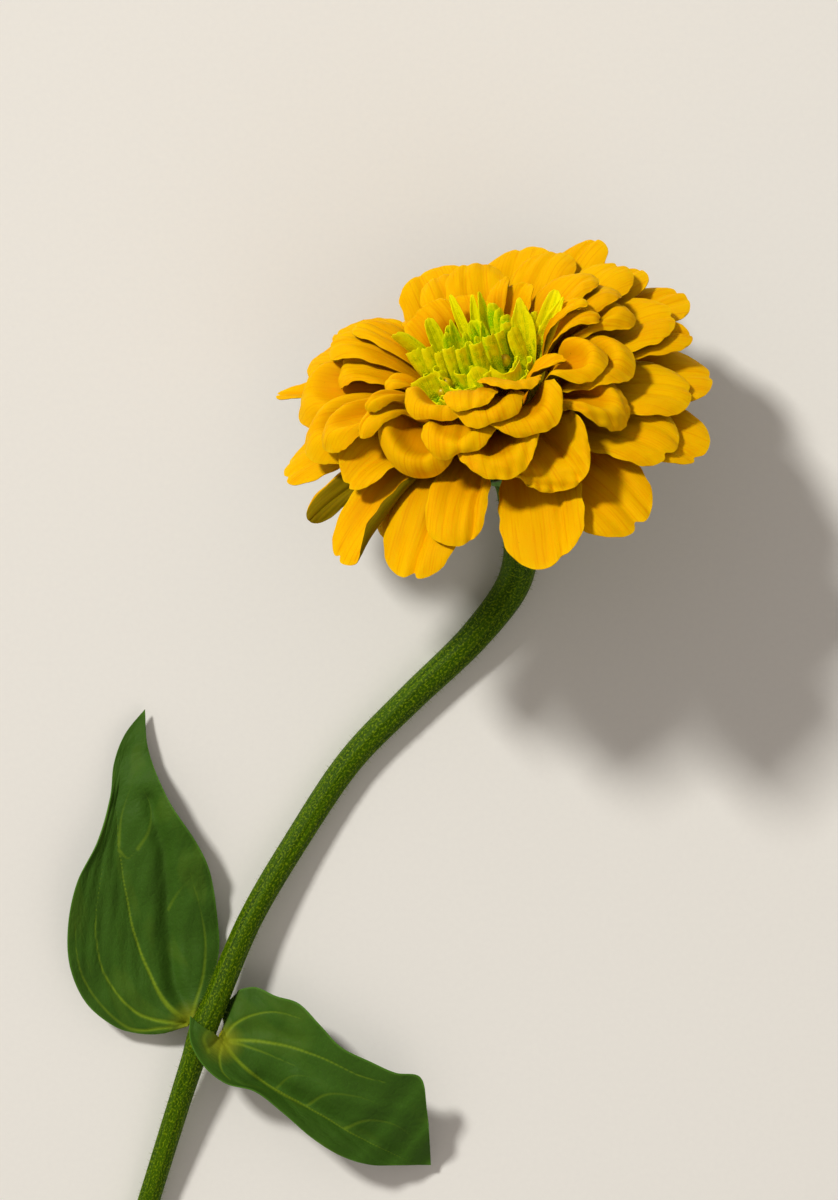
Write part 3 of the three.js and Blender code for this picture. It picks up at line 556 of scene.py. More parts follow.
SEEN_FLORETS = [
    seen_floret((428, 384), (411, 351), 8.3, 3.3, 0.75, roll=76, face=262),
    seen_floret((443, 387), (428, 347), 10, 3.0, 0.8, roll=76, face=275),
    seen_floret((450, 389), (438, 352), 9.2, 1.8, 0.9),
    seen_floret((461, 391), (448, 348), 10.6, 2.7, 0.65, roll=78, face=266),
    seen_floret((472, 391), (461, 348), 10.6, 2.3, 0.5, roll=80, face=278),
    seen_floret((488, 389), (475, 343), 11.4, 2.8, 0.5, roll=78, face=264),
    seen_floret((503, 381), (488, 335), 11.4, 2.8, 0.45, roll=78, face=276),
    seen_floret((511, 373), (499, 331), 10.4, 2.5, 0.3, face=285),
    seen_floret((415, 366), (393, 333), 12, 3.4, 1.0, taper=0.2, point=1.2, bow=0.6, face=250),
    seen_floret((444, 364), (427, 318), 11, 3.4, 0.95, taper=0.3, point=0.8, roll=45, face=110),
    seen_floret((455, 370), (446, 332), 9.5, 2.6, 0.35, taper=0.5, point=1.0, roll=50),
    seen_floret((463, 366), (450, 319), 11.5, 2.4, 0.4, taper=0.7, point=1.2, roll=50, face=100),
    seen_floret((474, 352), (451, 297), 12.5, 2.1, 1.0, taper=0.5, point=1.0, bow=1.6, face=90),
    seen_floret((480, 352), (472, 296), 12.8, 1.9, 1.0, taper=0.6, point=1.0, bow=0.8, face=80),
    seen_floret((489, 352), (478, 291), 13.4, 2.6, 0.5, taper=0.6, point=1.4, roll=50, face=120),
    seen_floret((491, 366), (481, 320), 11.4, 2.4, 0.15, taper=0.8, point=1.2, roll=50, face=95),
    seen_floret((480, 366), (470, 321), 11, 2.5, 0.2, taper=0.8, point=1.2, roll=50, face=250),
    seen_floret((486, 370), (476, 336), 8.6, 2.0, 0.3, taper=0.6, point=0.8),
    seen_floret((474, 370), (464, 332), 9.4, 1.9, 0.5, taper=0.6, point=0.8),
    seen_floret((500, 354), (491, 303), 12.4, 2.9, 0.1, taper=0.3, point=1.2, face=250),
    seen_floret((507, 356), (499, 308), 11.6, 2.6, 0.15, taper=0.3, point=1.2, face=285),
    seen_floret((513, 361), (505, 314), 11.4, 2.8, 0.1, taper=0.3, point=1.0),
    seen_floret((528, 368), (519, 298), 14.5, 5.0, 0.75, taper=0.55, point=3.0, roll=45, bow=0.6,
                face=80),
    seen_floret((518, 366), (505, 322), 11.2, 3.0, 0.5, taper=0.2, point=1.2),
    seen_floret((530, 369), (513, 327), 9.8, 4.0, 0.8, taper=0.2, point=0.9, roll=40, face=300),
    seen_floret((549, 358), (556, 291), 14.5, 3.8, 1.0, taper=0.3, point=0.9, roll=40, bow=1.0, face=60),
    seen_floret((546, 360), (562, 298), 13.5, 3.4, 0.6, taper=0.9, point=1.0, roll=40, bow=0.8, face=50),
    seen_floret((532, 360), (535, 311), 10.5, 2.1, 0.35, taper=0.3, point=0.8),
    seen_floret((537, 362), (542, 324), 8.0, 1.9, 0.3, taper=0.3, point=0.8),
    seen_floret((438, 402), (425, 374), 6.4, 7.4, 0.75, roll=45, point=0.9, base=9.4, bow=0.8),
    seen_floret((466, 407), (461, 388), 4.6, 8.6, 0.65, roll=45, point=0.8, base=9.4, bow=0.6),
    seen_floret((487, 401), (474, 367), 7.8, 5.0, 0.7, roll=50, taper=0.2, point=1.8, base=9.4),
    seen_floret((508, 394), (506, 371), 5.2, 6.6, 0.85, roll=50, point=-1.8, base=9.4, bow=0.5),
]

# Shorter florets fill the low dome between those that show, in rings round the head's axis.
FLORET_RINGS = [
    dict(count=21, radius=10.2, top=14.6, lean=9, width=3.3),
    dict(count=15, radius=7.7, top=15.8, lean=7, width=3.0),
    dict(count=10, radius=5.1, top=16.6, lean=4, width=2.9),
    dict(count=5, radius=2.4, top=17.0, lean=2, width=2.8),
]
LEAST_FLORET_SPACING = 1.3
DOME_SIDES = 40


def filler_florets():
    """Ring florets that stand clear of the feet already taken. They stand taller on the far side."""
    draw = seeded(5)
    forms = []
    for ring in FLORET_RINGS:
        for i in range(ring["count"]):
            turn = math.radians((i + 0.4 * draw(0, 1)) * 360 / ring["count"])
            far = math.sin(turn) * ring["radius"] / 10
            top = ring["top"] + (3.6 if far > 0 else 2.2) * far + draw(-0.8, 0.8)
            lean = math.radians(ring["lean"] * draw(0.7, 1.3))
            foot = around_axis(ring["radius"], turn, DISC_LEVEL + 0.6)
            tip = around_axis(ring["radius"] + (top - foot[2]) * math.tan(lean), turn, top)
            width = ring["width"] * draw(0.85, 1.1)
            form = dict(start=foot, stop=tip, width=width, gold=draw(0.2, 0.6), face=math.degrees(turn),
                        taper=draw(0, 0.5), point=draw(0.4, 1.2))
            spacing = min(np.hypot(*(foot - seen["start"])[:2]) for seen in SEEN_FLORETS)
            if spacing > LEAST_FLORET_SPACING:
                forms.append({**PLAIN_FLORET, **form})
    return forms


def floret_part(form, draw):
    """A floret rolled lengthwise like a gutter, with a toothed tip."""
    roll = math.radians(form["roll"])
    way = form["stop"] - form["start"]
    length = np.linalg.norm(way)
    way = way / length
    out = around_axis(1, math.radians(form["face"]), 0)
    side = np.cross(way, out)
    side = side / np.linalg.norm(side)
    out = np.cross(side, way)
    s, t = blade_places(*FLORET_CELLS)
    teeth = TOOTH * np.abs(np.sin(5.5 * math.pi * (t + draw(0, 1)))) * (1 - form["taper"])
    along = s * length - s ** 5 * (teeth + form["point"] * t * t)
    column = (0.6 + 0.4 * ease(0, 0.6, s)) * (1 - 0.1 * ease(0.75, 1, s))
    lens = np.sin(math.pi * (0.14 + 0.84 * s)) ** 0.8
    half = form["width"] / 2 * (column + (lens - column) * form["taper"])
    bend = math.sin(min(roll, math.pi / 2))
    x = half * np.sin(roll * t) / bend
    inward = half * (1 - np.cos(roll * t)) / bend
    inward = inward + 0.06 * np.cos(3 * math.pi * t) + 0.05 * np.sin(3.1 * along + draw(0, 6)) * np.cos(4 * t)
    bow = (form["bow"] + draw(-0.25, 0.25)) * s * s
    grid = form["start"] + along[..., None] * way + x[..., None] * side + (bow - inward)[..., None] * out
    uv = np.stack([x + FLORET_SHIFT * draw(0, 1), along], -1)
    return slab(in_head(grid[:, ::-1]), FLORET_THICKNESS, uv[:, ::-1], {"tint": form["gold"]})


def floret_parts():
    """The low dome and the florets that stand on it."""
    draw = seeded(23)
    dome = [
        (0, DISC_LEVEL), (DISC_RADIUS, DISC_LEVEL), (DISC_RADIUS, 10.0), (9.5, 10.5), (8, 10.9), (4, 11.5),
        (0, 11.7),
    ]
    forms = SEEN_FLORETS + filler_florets()
    return [turned(dome, DOME_SIDES, {"tint": 0.2})] + [floret_part(form, draw) for form in forms]


# Unopened disc florets: round buds low between the florets, seen as orange beads.
BUD_SIDES, BUD_RINGS, BUD_HEIGHT, BUD_FURROW = 20, 10, 1.3, 0.08
BUDS = [
    dict(at=(447, 384), level=12.4, radius=1.1),
    dict(at=(483, 374), level=13.0, radius=1.1),
    dict(at=(505, 360), level=13.6, radius=1.1),
    dict(at=(442, 393), level=11.4, radius=0.8),
]


def bud_part(bud):
    """A bud a little longer than wide, with five shallow furrows that meet at its top."""
    falls = [math.pi * (1 - i / BUD_RINGS) for i in range(BUD_RINGS + 1)]
    radius = bud["radius"]
    profile = [(radius * math.sin(fall), BUD_HEIGHT * radius * math.cos(fall)) for fall in falls]
    return turned(profile, BUD_SIDES, {}, at_level(bud["at"], bud["level"]), BUD_FURROW)


# The green cup under the petals, with two rows of bracts laid on it: each bract's radius and level at its
# start and its end, and how far round it stands from the first row's.
BRACT_ROWS = [
    dict(count=7, start=(4.8, -11.8), end=(10.4, -6.4), width=6.2, offset=0),
    dict(count=7, start=(7.6, -8.2), end=(11.6, -2.9), width=7.4, offset=0.5),
]
BRACT_CELLS = (14, 12)
BRACT_FRINGE = 0.25


def bract_part(row, i, draw):
    """A blunt bract that hugs the cup, with a thin ragged end."""
    turn = (i + row["offset"]) / row["count"] * 2 * math.pi
    s, t = blade_places(*BRACT_CELLS)
    half = row["width"] / 2 * (0.8 + 0.2 * ease(0, 0.4, s)) * np.sqrt(1 - 0.8 * ease(0.45, 1, s) ** 2)
    fringe = BRACT_FRINGE * np.abs(np.sin(9 * t + draw(0, 6))) * s ** 8
    radius = row["start"][0] + (row["end"][0] - row["start"][0]) * s ** 0.6
    level = row["start"][1] + (row["end"][1] - row["start"][1]) * s - (0.5 * np.abs(t) + fringe) * s
    side = half * t
    out = np.sqrt(radius ** 2 - (0.8 * side) ** 2)
    grid = np.stack([
        out * math.cos(turn) - side * math.sin(turn), out * math.sin(turn) + side * math.cos(turn), level,
    ], -1)
    uv = np.stack([side, 8 * s + 0 * t], -1)
    return slab(in_head(grid[:, ::-1]), BRACT_THICKNESS, uv[:, ::-1], {"tint": draw(0, 1)})


def cup_parts():
    draw = seeded(31)
    profile = [
        (0, NECK_LEVEL + GAP), (4.0, NECK_LEVEL + GAP), (4.8, -13.1), (5.8, -12.2), (8.1, -8.6), (9.3, -5.4),
        (9.8, -2.9), (9.5, RECEPTACLE_LEVEL - GAP), (0, RECEPTACLE_LEVEL - GAP),
    ]
    bracts = [bract_part(row, i, draw) for row in BRACT_ROWS for i in range(row["count"])]
    return [turned(profile, CUP_SIDES, {"reach": 0.2, "tint": 0.5})] + bracts


# The stem's middle line and radius: a point of the photograph, its height over the table, and the radius.
# It leaves the head along its axis, bends down to the table and swells where the leaves sit. The neck's two
# points are levels of the head and radii.
NECK = [(NECK_LEVEL, 3.9), (-17.0, 3.7)]
STEM = [
    (519, 525, 17.5, 3.6), (520, 560, 9.5, 3.6), (510, 590, 4.8, 3.5), (473, 638, 3.0, 3.2),
    (409, 700, 2.75, 2.95), (351, 760, 2.7, 2.75), (297, 840, 3.4, 2.6), (250, 920, 5.2, 2.55),
    (216, 1000, 6.9, 2.6), (203, 1030, 7.0, 2.9), (193, 1060, 6.6, 2.5), (180, 1100, 5.4, 2.35),
    (149, 1199, 3.0, 2.3), (118, 1298, 2.1, 2.3),
]
STEM_RIBS, RIB_HEIGHT = 9, 0.05
FINE_RIBS, FINE_RIB_HEIGHT = 17, 0.03
STEM_SIDES = 72
STEM_RINGS = 420
STEM_ROUND = 18.0


def through(points, u):
    """Points of a smooth curve through given ones, u running from 0 to 1 evenly over them."""
    points = np.concatenate([[2 * points[0] - points[1]], points, [2 * points[-1] - points[-2]]])
    place = np.clip(u, 0, 1) * (len(points) - 3)
    i = np.minimum(place.astype(int), len(points) - 4)
    w = (place - i)[:, None]
    p0, p1, p2, p3 = (points[i + k] for k in range(4))
    d0, d1, d2 = (np.sqrt(np.linalg.norm(b - a, axis=1))[:, None] for a, b in ((p0, p1), (p1, p2), (p2, p3)))
    m1 = ((p1 - p0) / d0 - (p2 - p0) / (d0 + d1) + (p2 - p1) / d1) * d1
    m2 = ((p2 - p1) / d1 - (p3 - p1) / (d1 + d2) + (p3 - p2) / d2) * d1
    return ((2 * w ** 3 - 3 * w ** 2 + 1) * p1 + (w ** 3 - 2 * w ** 2 + w) * m1
            + (3 * w ** 2 - 2 * w ** 3) * p2 + (w ** 3 - w ** 2) * m2)


def drawn_line(spots, count):
    """A smooth curve through spots of the photograph."""
    return through(np.array([(x, y, 0) for x, y in spots], float), np.linspace(0, 1, count))[:, :2]


def stem_line(steps):
    """The stem's middle line and its radius at even places along its points."""
    neck = in_head(np.array([[0, 0, level] for level, _ in NECK], float))
    points = np.array([*neck, *[photo_point(x, y, z) for x, y, z, _ in STEM]])
    radii = [row[-1] for row in NECK + STEM]
    u = np.linspace(0, 1, steps + 1)
    return through(points, u), np.interp(u, np.linspace(0, 1, len(radii)), radii)


def stem_part():
    """The ribbed stem, flattened a little where it lies on the table, with a pale cut end."""
    line, radius = stem_line(STEM_RINGS)
    along = np.gradient(line, axis=0)
    along /= np.linalg.norm(along, axis=1, keepdims=True)
    side = np.cross([0, 0, 1], along)
    side /= np.linalg.norm(side, axis=1, keepdims=True)
    over = np.cross(along, side)
    run = distances_along(line)
    angle = np.arange(STEM_SIDES)[None, :] * 2 * math.pi / STEM_SIDES
    ribs = RIB_HEIGHT * np.cos(STEM_RIBS * (angle + 0.004 * run[:, None]))
    ribs = ribs + FINE_RIB_HEIGHT * np.cos(FINE_RIBS * angle + 0.05 * run[:, None])
    reach = radius[:, None] - RIB_HEIGHT + ribs
    rings = (line[:, None] + side[:, None] * (reach * np.cos(angle))[..., None]
             + over[:, None] * (reach * np.sin(angle))[..., None])
    cut = [line[-1] + (rings[-1] - line[-1]) * share for share in (0.93, 0.7, 0.3)]
    neck = [line[0] + (rings[0] - line[0]) * share for share in (0.3, 0.7)]
    more = (len(neck), len(cut))
    run = np.pad(run, more, mode="edge")
    rib = np.pad(ribs, (more, (0, 0)), mode="edge") / 0.1
    pith = np.pad(np.zeros(STEM_RINGS + 1 + len(neck)), (0, len(cut)), constant_values=1)
    rings = np.concatenate([neck, rings, cut])
    count = len(rings)
    ring, place = np.meshgrid(np.arange(count - 1), np.arange(STEM_SIDES), indexing="ij")
    corners = [(ring, place), (ring, place + 1), (ring + 1, place + 1), (ring + 1, place)]
    quads = np.stack([a * STEM_SIDES + b % STEM_SIDES for a, b in corners], -1).reshape(-1, 4)
    width = STEM_ROUND / STEM_SIDES
    uv = np.stack([np.stack([b * width, run[a]], -1) for a, b in corners], 2).reshape(-1, 2)
    first = list(range(STEM_SIDES))[::-1]
    last = list(range((count - 1) * STEM_SIDES, count * STEM_SIDES))
    points = rings.reshape(-1, 3)
    points[:, 2] = np.maximum(points[:, 2], LEAST_HEIGHT)
    return dict(points=points, faces=quads.tolist() + [first, last],
                uv=np.concatenate([uv, np.zeros((2 * STEM_SIDES, 2))]),
                marks={"pith": np.repeat(pith, STEM_SIDES), "rib": rib.ravel()})


# A leaf from its outline in the photograph: both edges and the midrib from base to tip, and the heights over
# the table of the same three lines. Veins are drawn in the photograph, from where they are thickest, each
# with its strength. Creases are drawn there too, each with its depth. Widths and the node's are in pixels.
LEAF_CELLS = (176, 120)
VEIN, VEIN_DEPTH = dict(width=2.2, taper=0.65), 0.25
CREASE = dict(width=11, taper=0.3)
QUILT_HEIGHT, QUILT_ROOM = 0.12, 0.5
NODE_WIDTH = 16
LEAF_LEFT = dict(
    left=[
        (188, 1026), (159, 1034), (130, 1032), (112, 1025), (86, 1003), (70, 967), (68, 927),
        (77, 883), (97, 843), (110, 799), (114, 763), (125, 734), (145, 709),
    ],
    midrib=[
        (192, 1020), (159, 996), (141, 956), (128, 901), (119, 850), (117, 800), (127, 748), (145, 709),
    ],
    right=[
        (202, 1008), (211, 985), (219, 950), (218, 923), (210, 872), (199, 847), (168, 799), (148, 748),
        (145, 709),
    ],
    heights=dict(
        left=[4.5, 3.5, 5.5, 8, 9, 8.5, 6.5, 4, 2],
        midrib=[6.5, 5, 4.5, 5, 5.5, 5.5, 5, 3.5, 2],
        right=[4.5, 2.5, 2, 4.5, 7.5, 9.5, 8, 4, 2],
    ),
    node=(190, 1024),
    veins=[
        ([(186, 1022), (166, 1004), (148, 970), (134, 933), (126, 893), (119, 847), (116, 812)], 1.2),
        ([(186, 1024), (157, 1020), (139, 1014), (119, 996), (103, 971), (96, 940), (96, 911), (104, 860)],
         1),
        ([(170, 1027), (132, 1029), (103, 1007), (83, 978), (76, 949), (75, 915)], 0.7),
        ([(192, 1016), (203, 975), (205, 940), (199, 904), (190, 872)], 0.6),
        ([(138, 849), (148, 832), (150, 808), (142, 786)], 0.35),
        ([(119, 850), (128, 858), (138, 849)], 0.35),
        ([(168, 910), (180, 890), (192, 876)], 0.3),
        ([(119, 845), (122, 815), (132, 785)], 0.4),
    ],
    creases=[
        ([(189, 1018), (174, 985), (170, 956), (167, 900), (164, 856), (156, 824), (150, 800)], 2.2),
        ([(135, 990), (120, 950), (112, 900), (110, 860)], -0.6),
    ],
)
LEAF_RIGHT = dict(
    left=[
        (222, 1013), (233, 994), (254, 987), (276, 996), (298, 1003), (320, 1025), (341, 1047),
        (371, 1062), (396, 1073), (420, 1077), (427, 1110), (431, 1165),
    ],
    midrib=[
        (219, 1038), (240, 1061), (269, 1085), (323, 1113), (363, 1138), (400, 1158), (431, 1165),
    ],
    right=[
        (190, 1016), (190, 1040), (203, 1065), (225, 1083), (254, 1091), (283, 1113), (312, 1138),
        (341, 1156), (371, 1165), (400, 1165), (431, 1165),
    ],
    heights=dict(
        left=[3.5, 7, 10, 12, 13, 13, 11.5, 8, 2.5],
        midrib=[9, 8.5, 8.5, 9, 9.5, 9, 7.5, 5, 2.5],
        right=[10.5, 11.5, 12, 12, 12, 11, 9, 6, 2.5],
    ),
    node=(222, 1042),
    veins=[
        ([(222, 1043), (243, 1066), (272, 1089), (316, 1113), (359, 1138), (406, 1160)], 1.2),
        ([(224, 1041), (252, 1041), (286, 1046), (323, 1058), (359, 1075), (385, 1082)], 0.9),
        ([(223, 1038), (234, 1025), (250, 1016), (275, 1012), (300, 1018)], 0.9),
        ([(224, 1042), (245, 1046), (268, 1054), (300, 1068)], 0.6),
        ([(221, 1045), (219, 1058), (222, 1072), (230, 1081)], 0.8),
        ([(208, 1052), (203, 1038), (208, 1029), (217, 1036)], 0.5),
        ([(306, 1107), (326, 1094), (356, 1096), (380, 1104)], 0.35),
        ([(345, 1129), (366, 1120), (394, 1124), (412, 1136)], 0.35),
        ([(275, 1090), (292, 1076), (320, 1078)], 0.3),
    ],
    creases=[
        ([(230, 1036), (262, 1030), (300, 1040)], 0.8),
        ([(262, 1080), (316, 1110), (359, 1134), (402, 1158)], 1.2),
        ([(300, 1080), (350, 1100), (400, 1110)], -0.7),
    ],
)

# The stem's hairs. Their lean is a share of their length.
HAIR_LENGTH = 1.0
HAIR_RADIUS = 0.032
HAIR_LEAN = 0.35
HAIRS_PER_SQUARE_MM = 0.9


def evenly(spots, count):
    """Points at equal distances along a smooth curve through spots of the photograph."""
    dense = drawn_line(spots, 400)
    run = distances_along(dense)
    even = np.linspace(0, run[-1], count)
    return np.stack([np.interp(even, run, dense[:, k]) for k in (0, 1)], -1)


def heights_along(values, s):
    place = s * (len(values) - 1)
    i = np.minimum(place.astype(int), len(values) - 2)
    values = np.array(values)
    return values[i] + (values[i + 1] - values[i]) * ease(0, 1, place - i)


def clear_of_stem(grid, room):
    """Pushes a blade's points off the stem's surface."""
    line, radius = stem_line(240)
    flat = grid.reshape(-1, 3)
    near = np.linalg.norm(flat[:, None] - line[None], axis=2).argmin(1)
    off = flat - line[near]
    distance = np.linalg.norm(off, axis=1)
    least = radius[near] + room
    pushed = line[near] + off / distance[:, None] * least[:, None]
    return np.where((distance < least)[:, None], pushed, flat).reshape(grid.shape)


def near_line(spots, points, width, taper):
    """1 on a line drawn in the photograph and 0 beside it, for its spots. The line thins to its end."""
    line = drawn_line(points, 80)
    away = np.linalg.norm(spots[:, :, None] - line[None, None], axis=-1)
    thin = 1 - taper * (away.argmin(-1) / (len(line) - 1))
    return np.exp(-((away.min(-1) / (width * thin)) ** 2)) * thin


def leaf_part(leaf):
    """A leaf blade between its edges and midrib, quilted, with sunken veins and creases."""
    s, t = blade_places(*LEAF_CELLS)
    lines = {name: evenly(leaf[name], len(s)) for name in leaf["heights"]}
    heights = {name: heights_along(values, s[:, 0]) for name, values in leaf["heights"].items()}
    grid, spots = np.empty((len(s), t.size, 3)), np.empty((len(s), t.size, 2))
    for j, share in enumerate(t[0]):
        side, reach = ("left" if share < 0 else "right"), abs(share)
        spots[:, j] = lines["midrib"] * (1 - reach) + lines[side] * reach
        height = heights["midrib"] + (heights[side] - heights["midrib"]) * reach ** 1.4
        grid[:, j] = photo_point(spots[:, j, 0], spots[:, j, 1], height).T
    inner = 1 - ease(0.7, 1, np.maximum(np.abs(t), s))
    veins = [strength * near_line(spots, points, **VEIN) for points, strength in leaf["veins"]]
    vein = np.max(veins, 0)
    x = t * np.linalg.norm(grid[:, -1] - grid[:, 0], axis=1)[:, None] / 2
    y = s * distances_along(lines["midrib"])[-1] * MM_PER_PIXEL
    for points, depth in leaf["creases"]:
        grid[..., 2] -= depth * near_line(spots, points, **CREASE) * inner
    quilt = np.sin(0.9 * x + 0.35 * y) * np.sin(0.55 * y - 0.5 * x) + 0.6 * np.sin(1.7 * x - 0.8 * y + 1)
    grid = clear_of_stem(grid, LEAF_THICKNESS / 2 + GAP + QUILT_ROOM)
    grid[..., 2] += QUILT_HEIGHT * quilt * inner - VEIN_DEPTH * vein
    from_node = np.linalg.norm(spots - leaf["node"], axis=-1)
    marks = {"vein": vein, "node": np.exp(-((from_node / NODE_WIDTH) ** 2))}
    return slab(grid, LEAF_THICKNESS, np.stack([x, y + 0 * x], -1), marks)


def linear(code):
    """An sRGB hex colour as the linear one that shaders read."""
    parts = [int(code[k:k + 2], 16) / 255 for k in (1, 3, 5)]
    return tuple(v / 12.92 if v <= 0.04045 else ((v + 0.055) / 1.055) ** 2.4 for v in parts) + (1.0,)


def add(tree, kind, inputs=None, **settings):
    """Adds a node with its settings, and fills its sockets with values or other nodes' outputs."""
    node = tree.nodes.new(kind)
    for name, value in settings.items():
        setattr(node, name, value)
    for key, value in (inputs or {}).items():
        if isinstance(value, bpy.types.Node):
            value = value.outputs[0]
        if isinstance(value, bpy.types.NodeSocket):
            tree.links.new(value, node.inputs[key])
        else:
            node.inputs[key].default_value = value
    return node


def plain_material(name):
    material = bpy.data.materials.new(name)
    material.use_nodes = True
    return material, material.node_tree, material.node_tree.nodes["Principled BSDF"]


def finish(name, grains, ground, coats, reliefs, **shader):
    """A material whose patterns follow a piece's own UV in mm. A grain is its spots' size across and along,
    and its noise's detail. Without detail it is a net with meshes of that size. A coat is what it follows, a
    pattern or a mark of the mesh, where it starts and is full, its strength, and its colour, which may be a
    ground under coats itself. A relief is a pattern and its height in mm."""
    material, tree, surface = plain_material(name)
    for key, value in shader.items():
        surface.inputs[key.replace("_", " ")].default_value = value
    uv = add(tree, "ShaderNodeUVMap", uv_map="blade")
    patterns = {}
    for grain, (across, along, detail) in grains.items():
        place = add(tree, "ShaderNodeMapping", {"Vector": uv, "Scale": (1 / across, 1 / along, 1)})
        inputs = {"Vector": place, "Scale": 1.0}
        if detail:
            patterns[grain] = add(tree, "ShaderNodeTexNoise", {**inputs, "Detail": detail})
        else:
            patterns[grain] = add(tree, "ShaderNodeTexVoronoi", inputs, feature="DISTANCE_TO_EDGE")

    def painted(under, layers):
        below = linear(under)
        for follows, start, full, strength, colour in layers:
            if follows in patterns:
                guide = patterns[follows]
            else:
                guide = add(tree, "ShaderNodeAttribute", attribute_name=follows).outputs["Fac"]
            mask = add(tree, "ShaderNodeMapRange", {
                "Value": guide, "From Min": start, "From Max": full, "To Min": 0.0, "To Max": strength,
            })
            coat = painted(*colour) if isinstance(colour, tuple) else linear(colour)
            below = add(tree, "ShaderNodeMix", {0: mask, 6: below, 7: coat}, data_type="RGBA").outputs[2]
        return below

    tree.links.new(painted(ground, coats), surface.inputs["Base Color"])
    normal = {}
    for pattern, height in reliefs:
        inputs = {"Height": patterns[pattern], "Distance": height * MM, "Strength": 1.0, **normal}
        normal = {"Normal": add(tree, "ShaderNodeBump", inputs)}
    tree.links.new(normal["Normal"].outputs[0], surface.inputs["Normal"])
    return material


def petal_skin():
    """Living petal: a matt, faintly velvety skin of tiny domed cells over golden flesh that light soaks into,
    with fine lengthwise veins and an olive back. Highlights are painted along its margins, and shade into its
    hollows and towards its root, where it is also a deeper orange. Its cells are about 0.04 mm wide, too fine
    to show, and are drawn three times as coarse."""
    olive = ("#7A6A04", [("streak", 0.4, 0.7, 0.8, "#544E02")])
    return finish(
        "zinnia petal skin",
        dict(streak=(0.45, 14, 3), patch=(6, 16, 2), fleck=(0.4, 0.4, 1), cells=(0.12, 0.12, 1)),
        "#EEAC00", [
            # The edge coats paint highlights: a broad yellower band on the margins, where rims catch the
            # light, and a thin bright line right on them.
            ("tint", 0, 1, 0.7, "#F2B800"), ("edge", 0.5, 1.0, 0.6, "#F8C600"),
            ("patch", 0.4, 0.75, 0.5, "#E49600"), ("streak", 0.5, 0.72, 0.5, "#DC8400"),
            # Towards the root the coat is partly the petal's real deeper orange and partly painted shade; the
            # hollow coat is painted shade.
            ("reach", 0.7, 0.08, 0.7, "#BC6800"), ("hollow", 0, 1, 0.5, "#CE7A00"),
            # This edge coat paints the thin bright highlight right on the margin.
            ("edge", 0.96, 1.0, 0.4, "#FAC60A"), ("fleck", 0.77, 0.8, 0.5, "#8A4A00"),
            ("under", 0, 1, 1, olive),
        ],
        [("streak", 0.06), ("cells", 0.015)],
        Roughness=0.6, Specular_IOR_Level=0.02,
        Subsurface_Weight=0.2, Subsurface_Radius=(1.0, 0.36, 0.03), Subsurface_Scale=1.0 * MM)


def floret_skin():
    """Juicy floret tissue: satin, green at the foot and yellow-green above, with pale rims painted as
    highlights and glints painted in patches. Its cells are about 0.05 mm wide, too fine to show, and their
    glints are painted as sparks four times as coarse."""
    return finish(
        "zinnia floret tissue", dict(streak=(0.35, 6, 2), patch=(1.2, 3, 2), spark=(0.22, 0.3, 1)),
        "#9CE000", [
            ("tint", 0, 1, 1, "#FFF400"), ("reach", 0.55, 0.1, 0.9, "#3C6E00"),
            # The patch coat paints bright glints in patches.
            ("streak", 0.46, 0.66, 0.45, "#6CAC00"), ("patch", 0.46, 0.58, 0.7, "#FFF800"),
            # The edge coat paints a highlight along the rims, and the spark coat paints fine glints.
            ("edge", 0.8, 0.98, 0.85, "#FFFC08"), ("spark", 0.56, 0.62, 0.8, "#FFFF18"),
        ],
        [("streak", 0.03), ("spark", 0.015)],
        Roughness=0.4, Specular_IOR_Level=0.06,
        Subsurface_Weight=0.05, Subsurface_Radius=(0.6, 1.0, 0.05), Subsurface_Scale=0.6 * MM)


def bud_skin():
    """Waxy unopened bud: orange, with a soft shine."""
    return finish(
        "zinnia bud wax", dict(dapple=(0.5, 0.5, 2)),
        "#DCC000", [("dapple", 0.4, 0.65, 0.6, "#C09A00")], [("dapple", 0.05)],
        Roughness=0.35, Subsurface_Weight=0.2, Subsurface_Radius=(1.0, 0.4, 0.05), Subsurface_Scale=0.6 * MM)


def bract_skin():
    """Leathery bract: matt green, with a dark dry fringe at its end."""
    return finish(
        "zinnia bract leather", dict(streak=(0.6, 5, 2)),
        "#3F6A14", [("streak", 0.35, 0.7, 1, "#5E8C26"), ("reach", 0.8, 0.97, 0.85, "#33220F")],
        [("streak", 0.12)], Roughness=0.6, Specular_IOR_Level=0.3)


def stem_skin():
    """Ribbed stem skin: satin green, dotted with hair roots, and pale wet pith where it is cut. The roots are
    about 0.1 mm wide, too fine to show, and are drawn four times as coarse."""
    return finish(
        "zinnia stem skin", dict(dots=(0.38, 0.6, 3), streak=(0.7, 18, 2)),
        "#284600", [
            ("streak", 0.35, 0.7, 0.9, "#406200"), ("rib", 0.1, 1.0, 0.3, "#648604"),
            ("dots", 0.5, 0.64, 0.55, "#86A00C"), ("pith", 0, 1, 1, "#C3CE8E"),
        ],
        [("dots", 0.1), ("streak", 0.08)],
        Roughness=0.5, Specular_IOR_Level=0.06,
        Subsurface_Weight=0.08, Subsurface_Radius=(0.5, 1.0, 0.1), Subsurface_Scale=0.8 * MM)


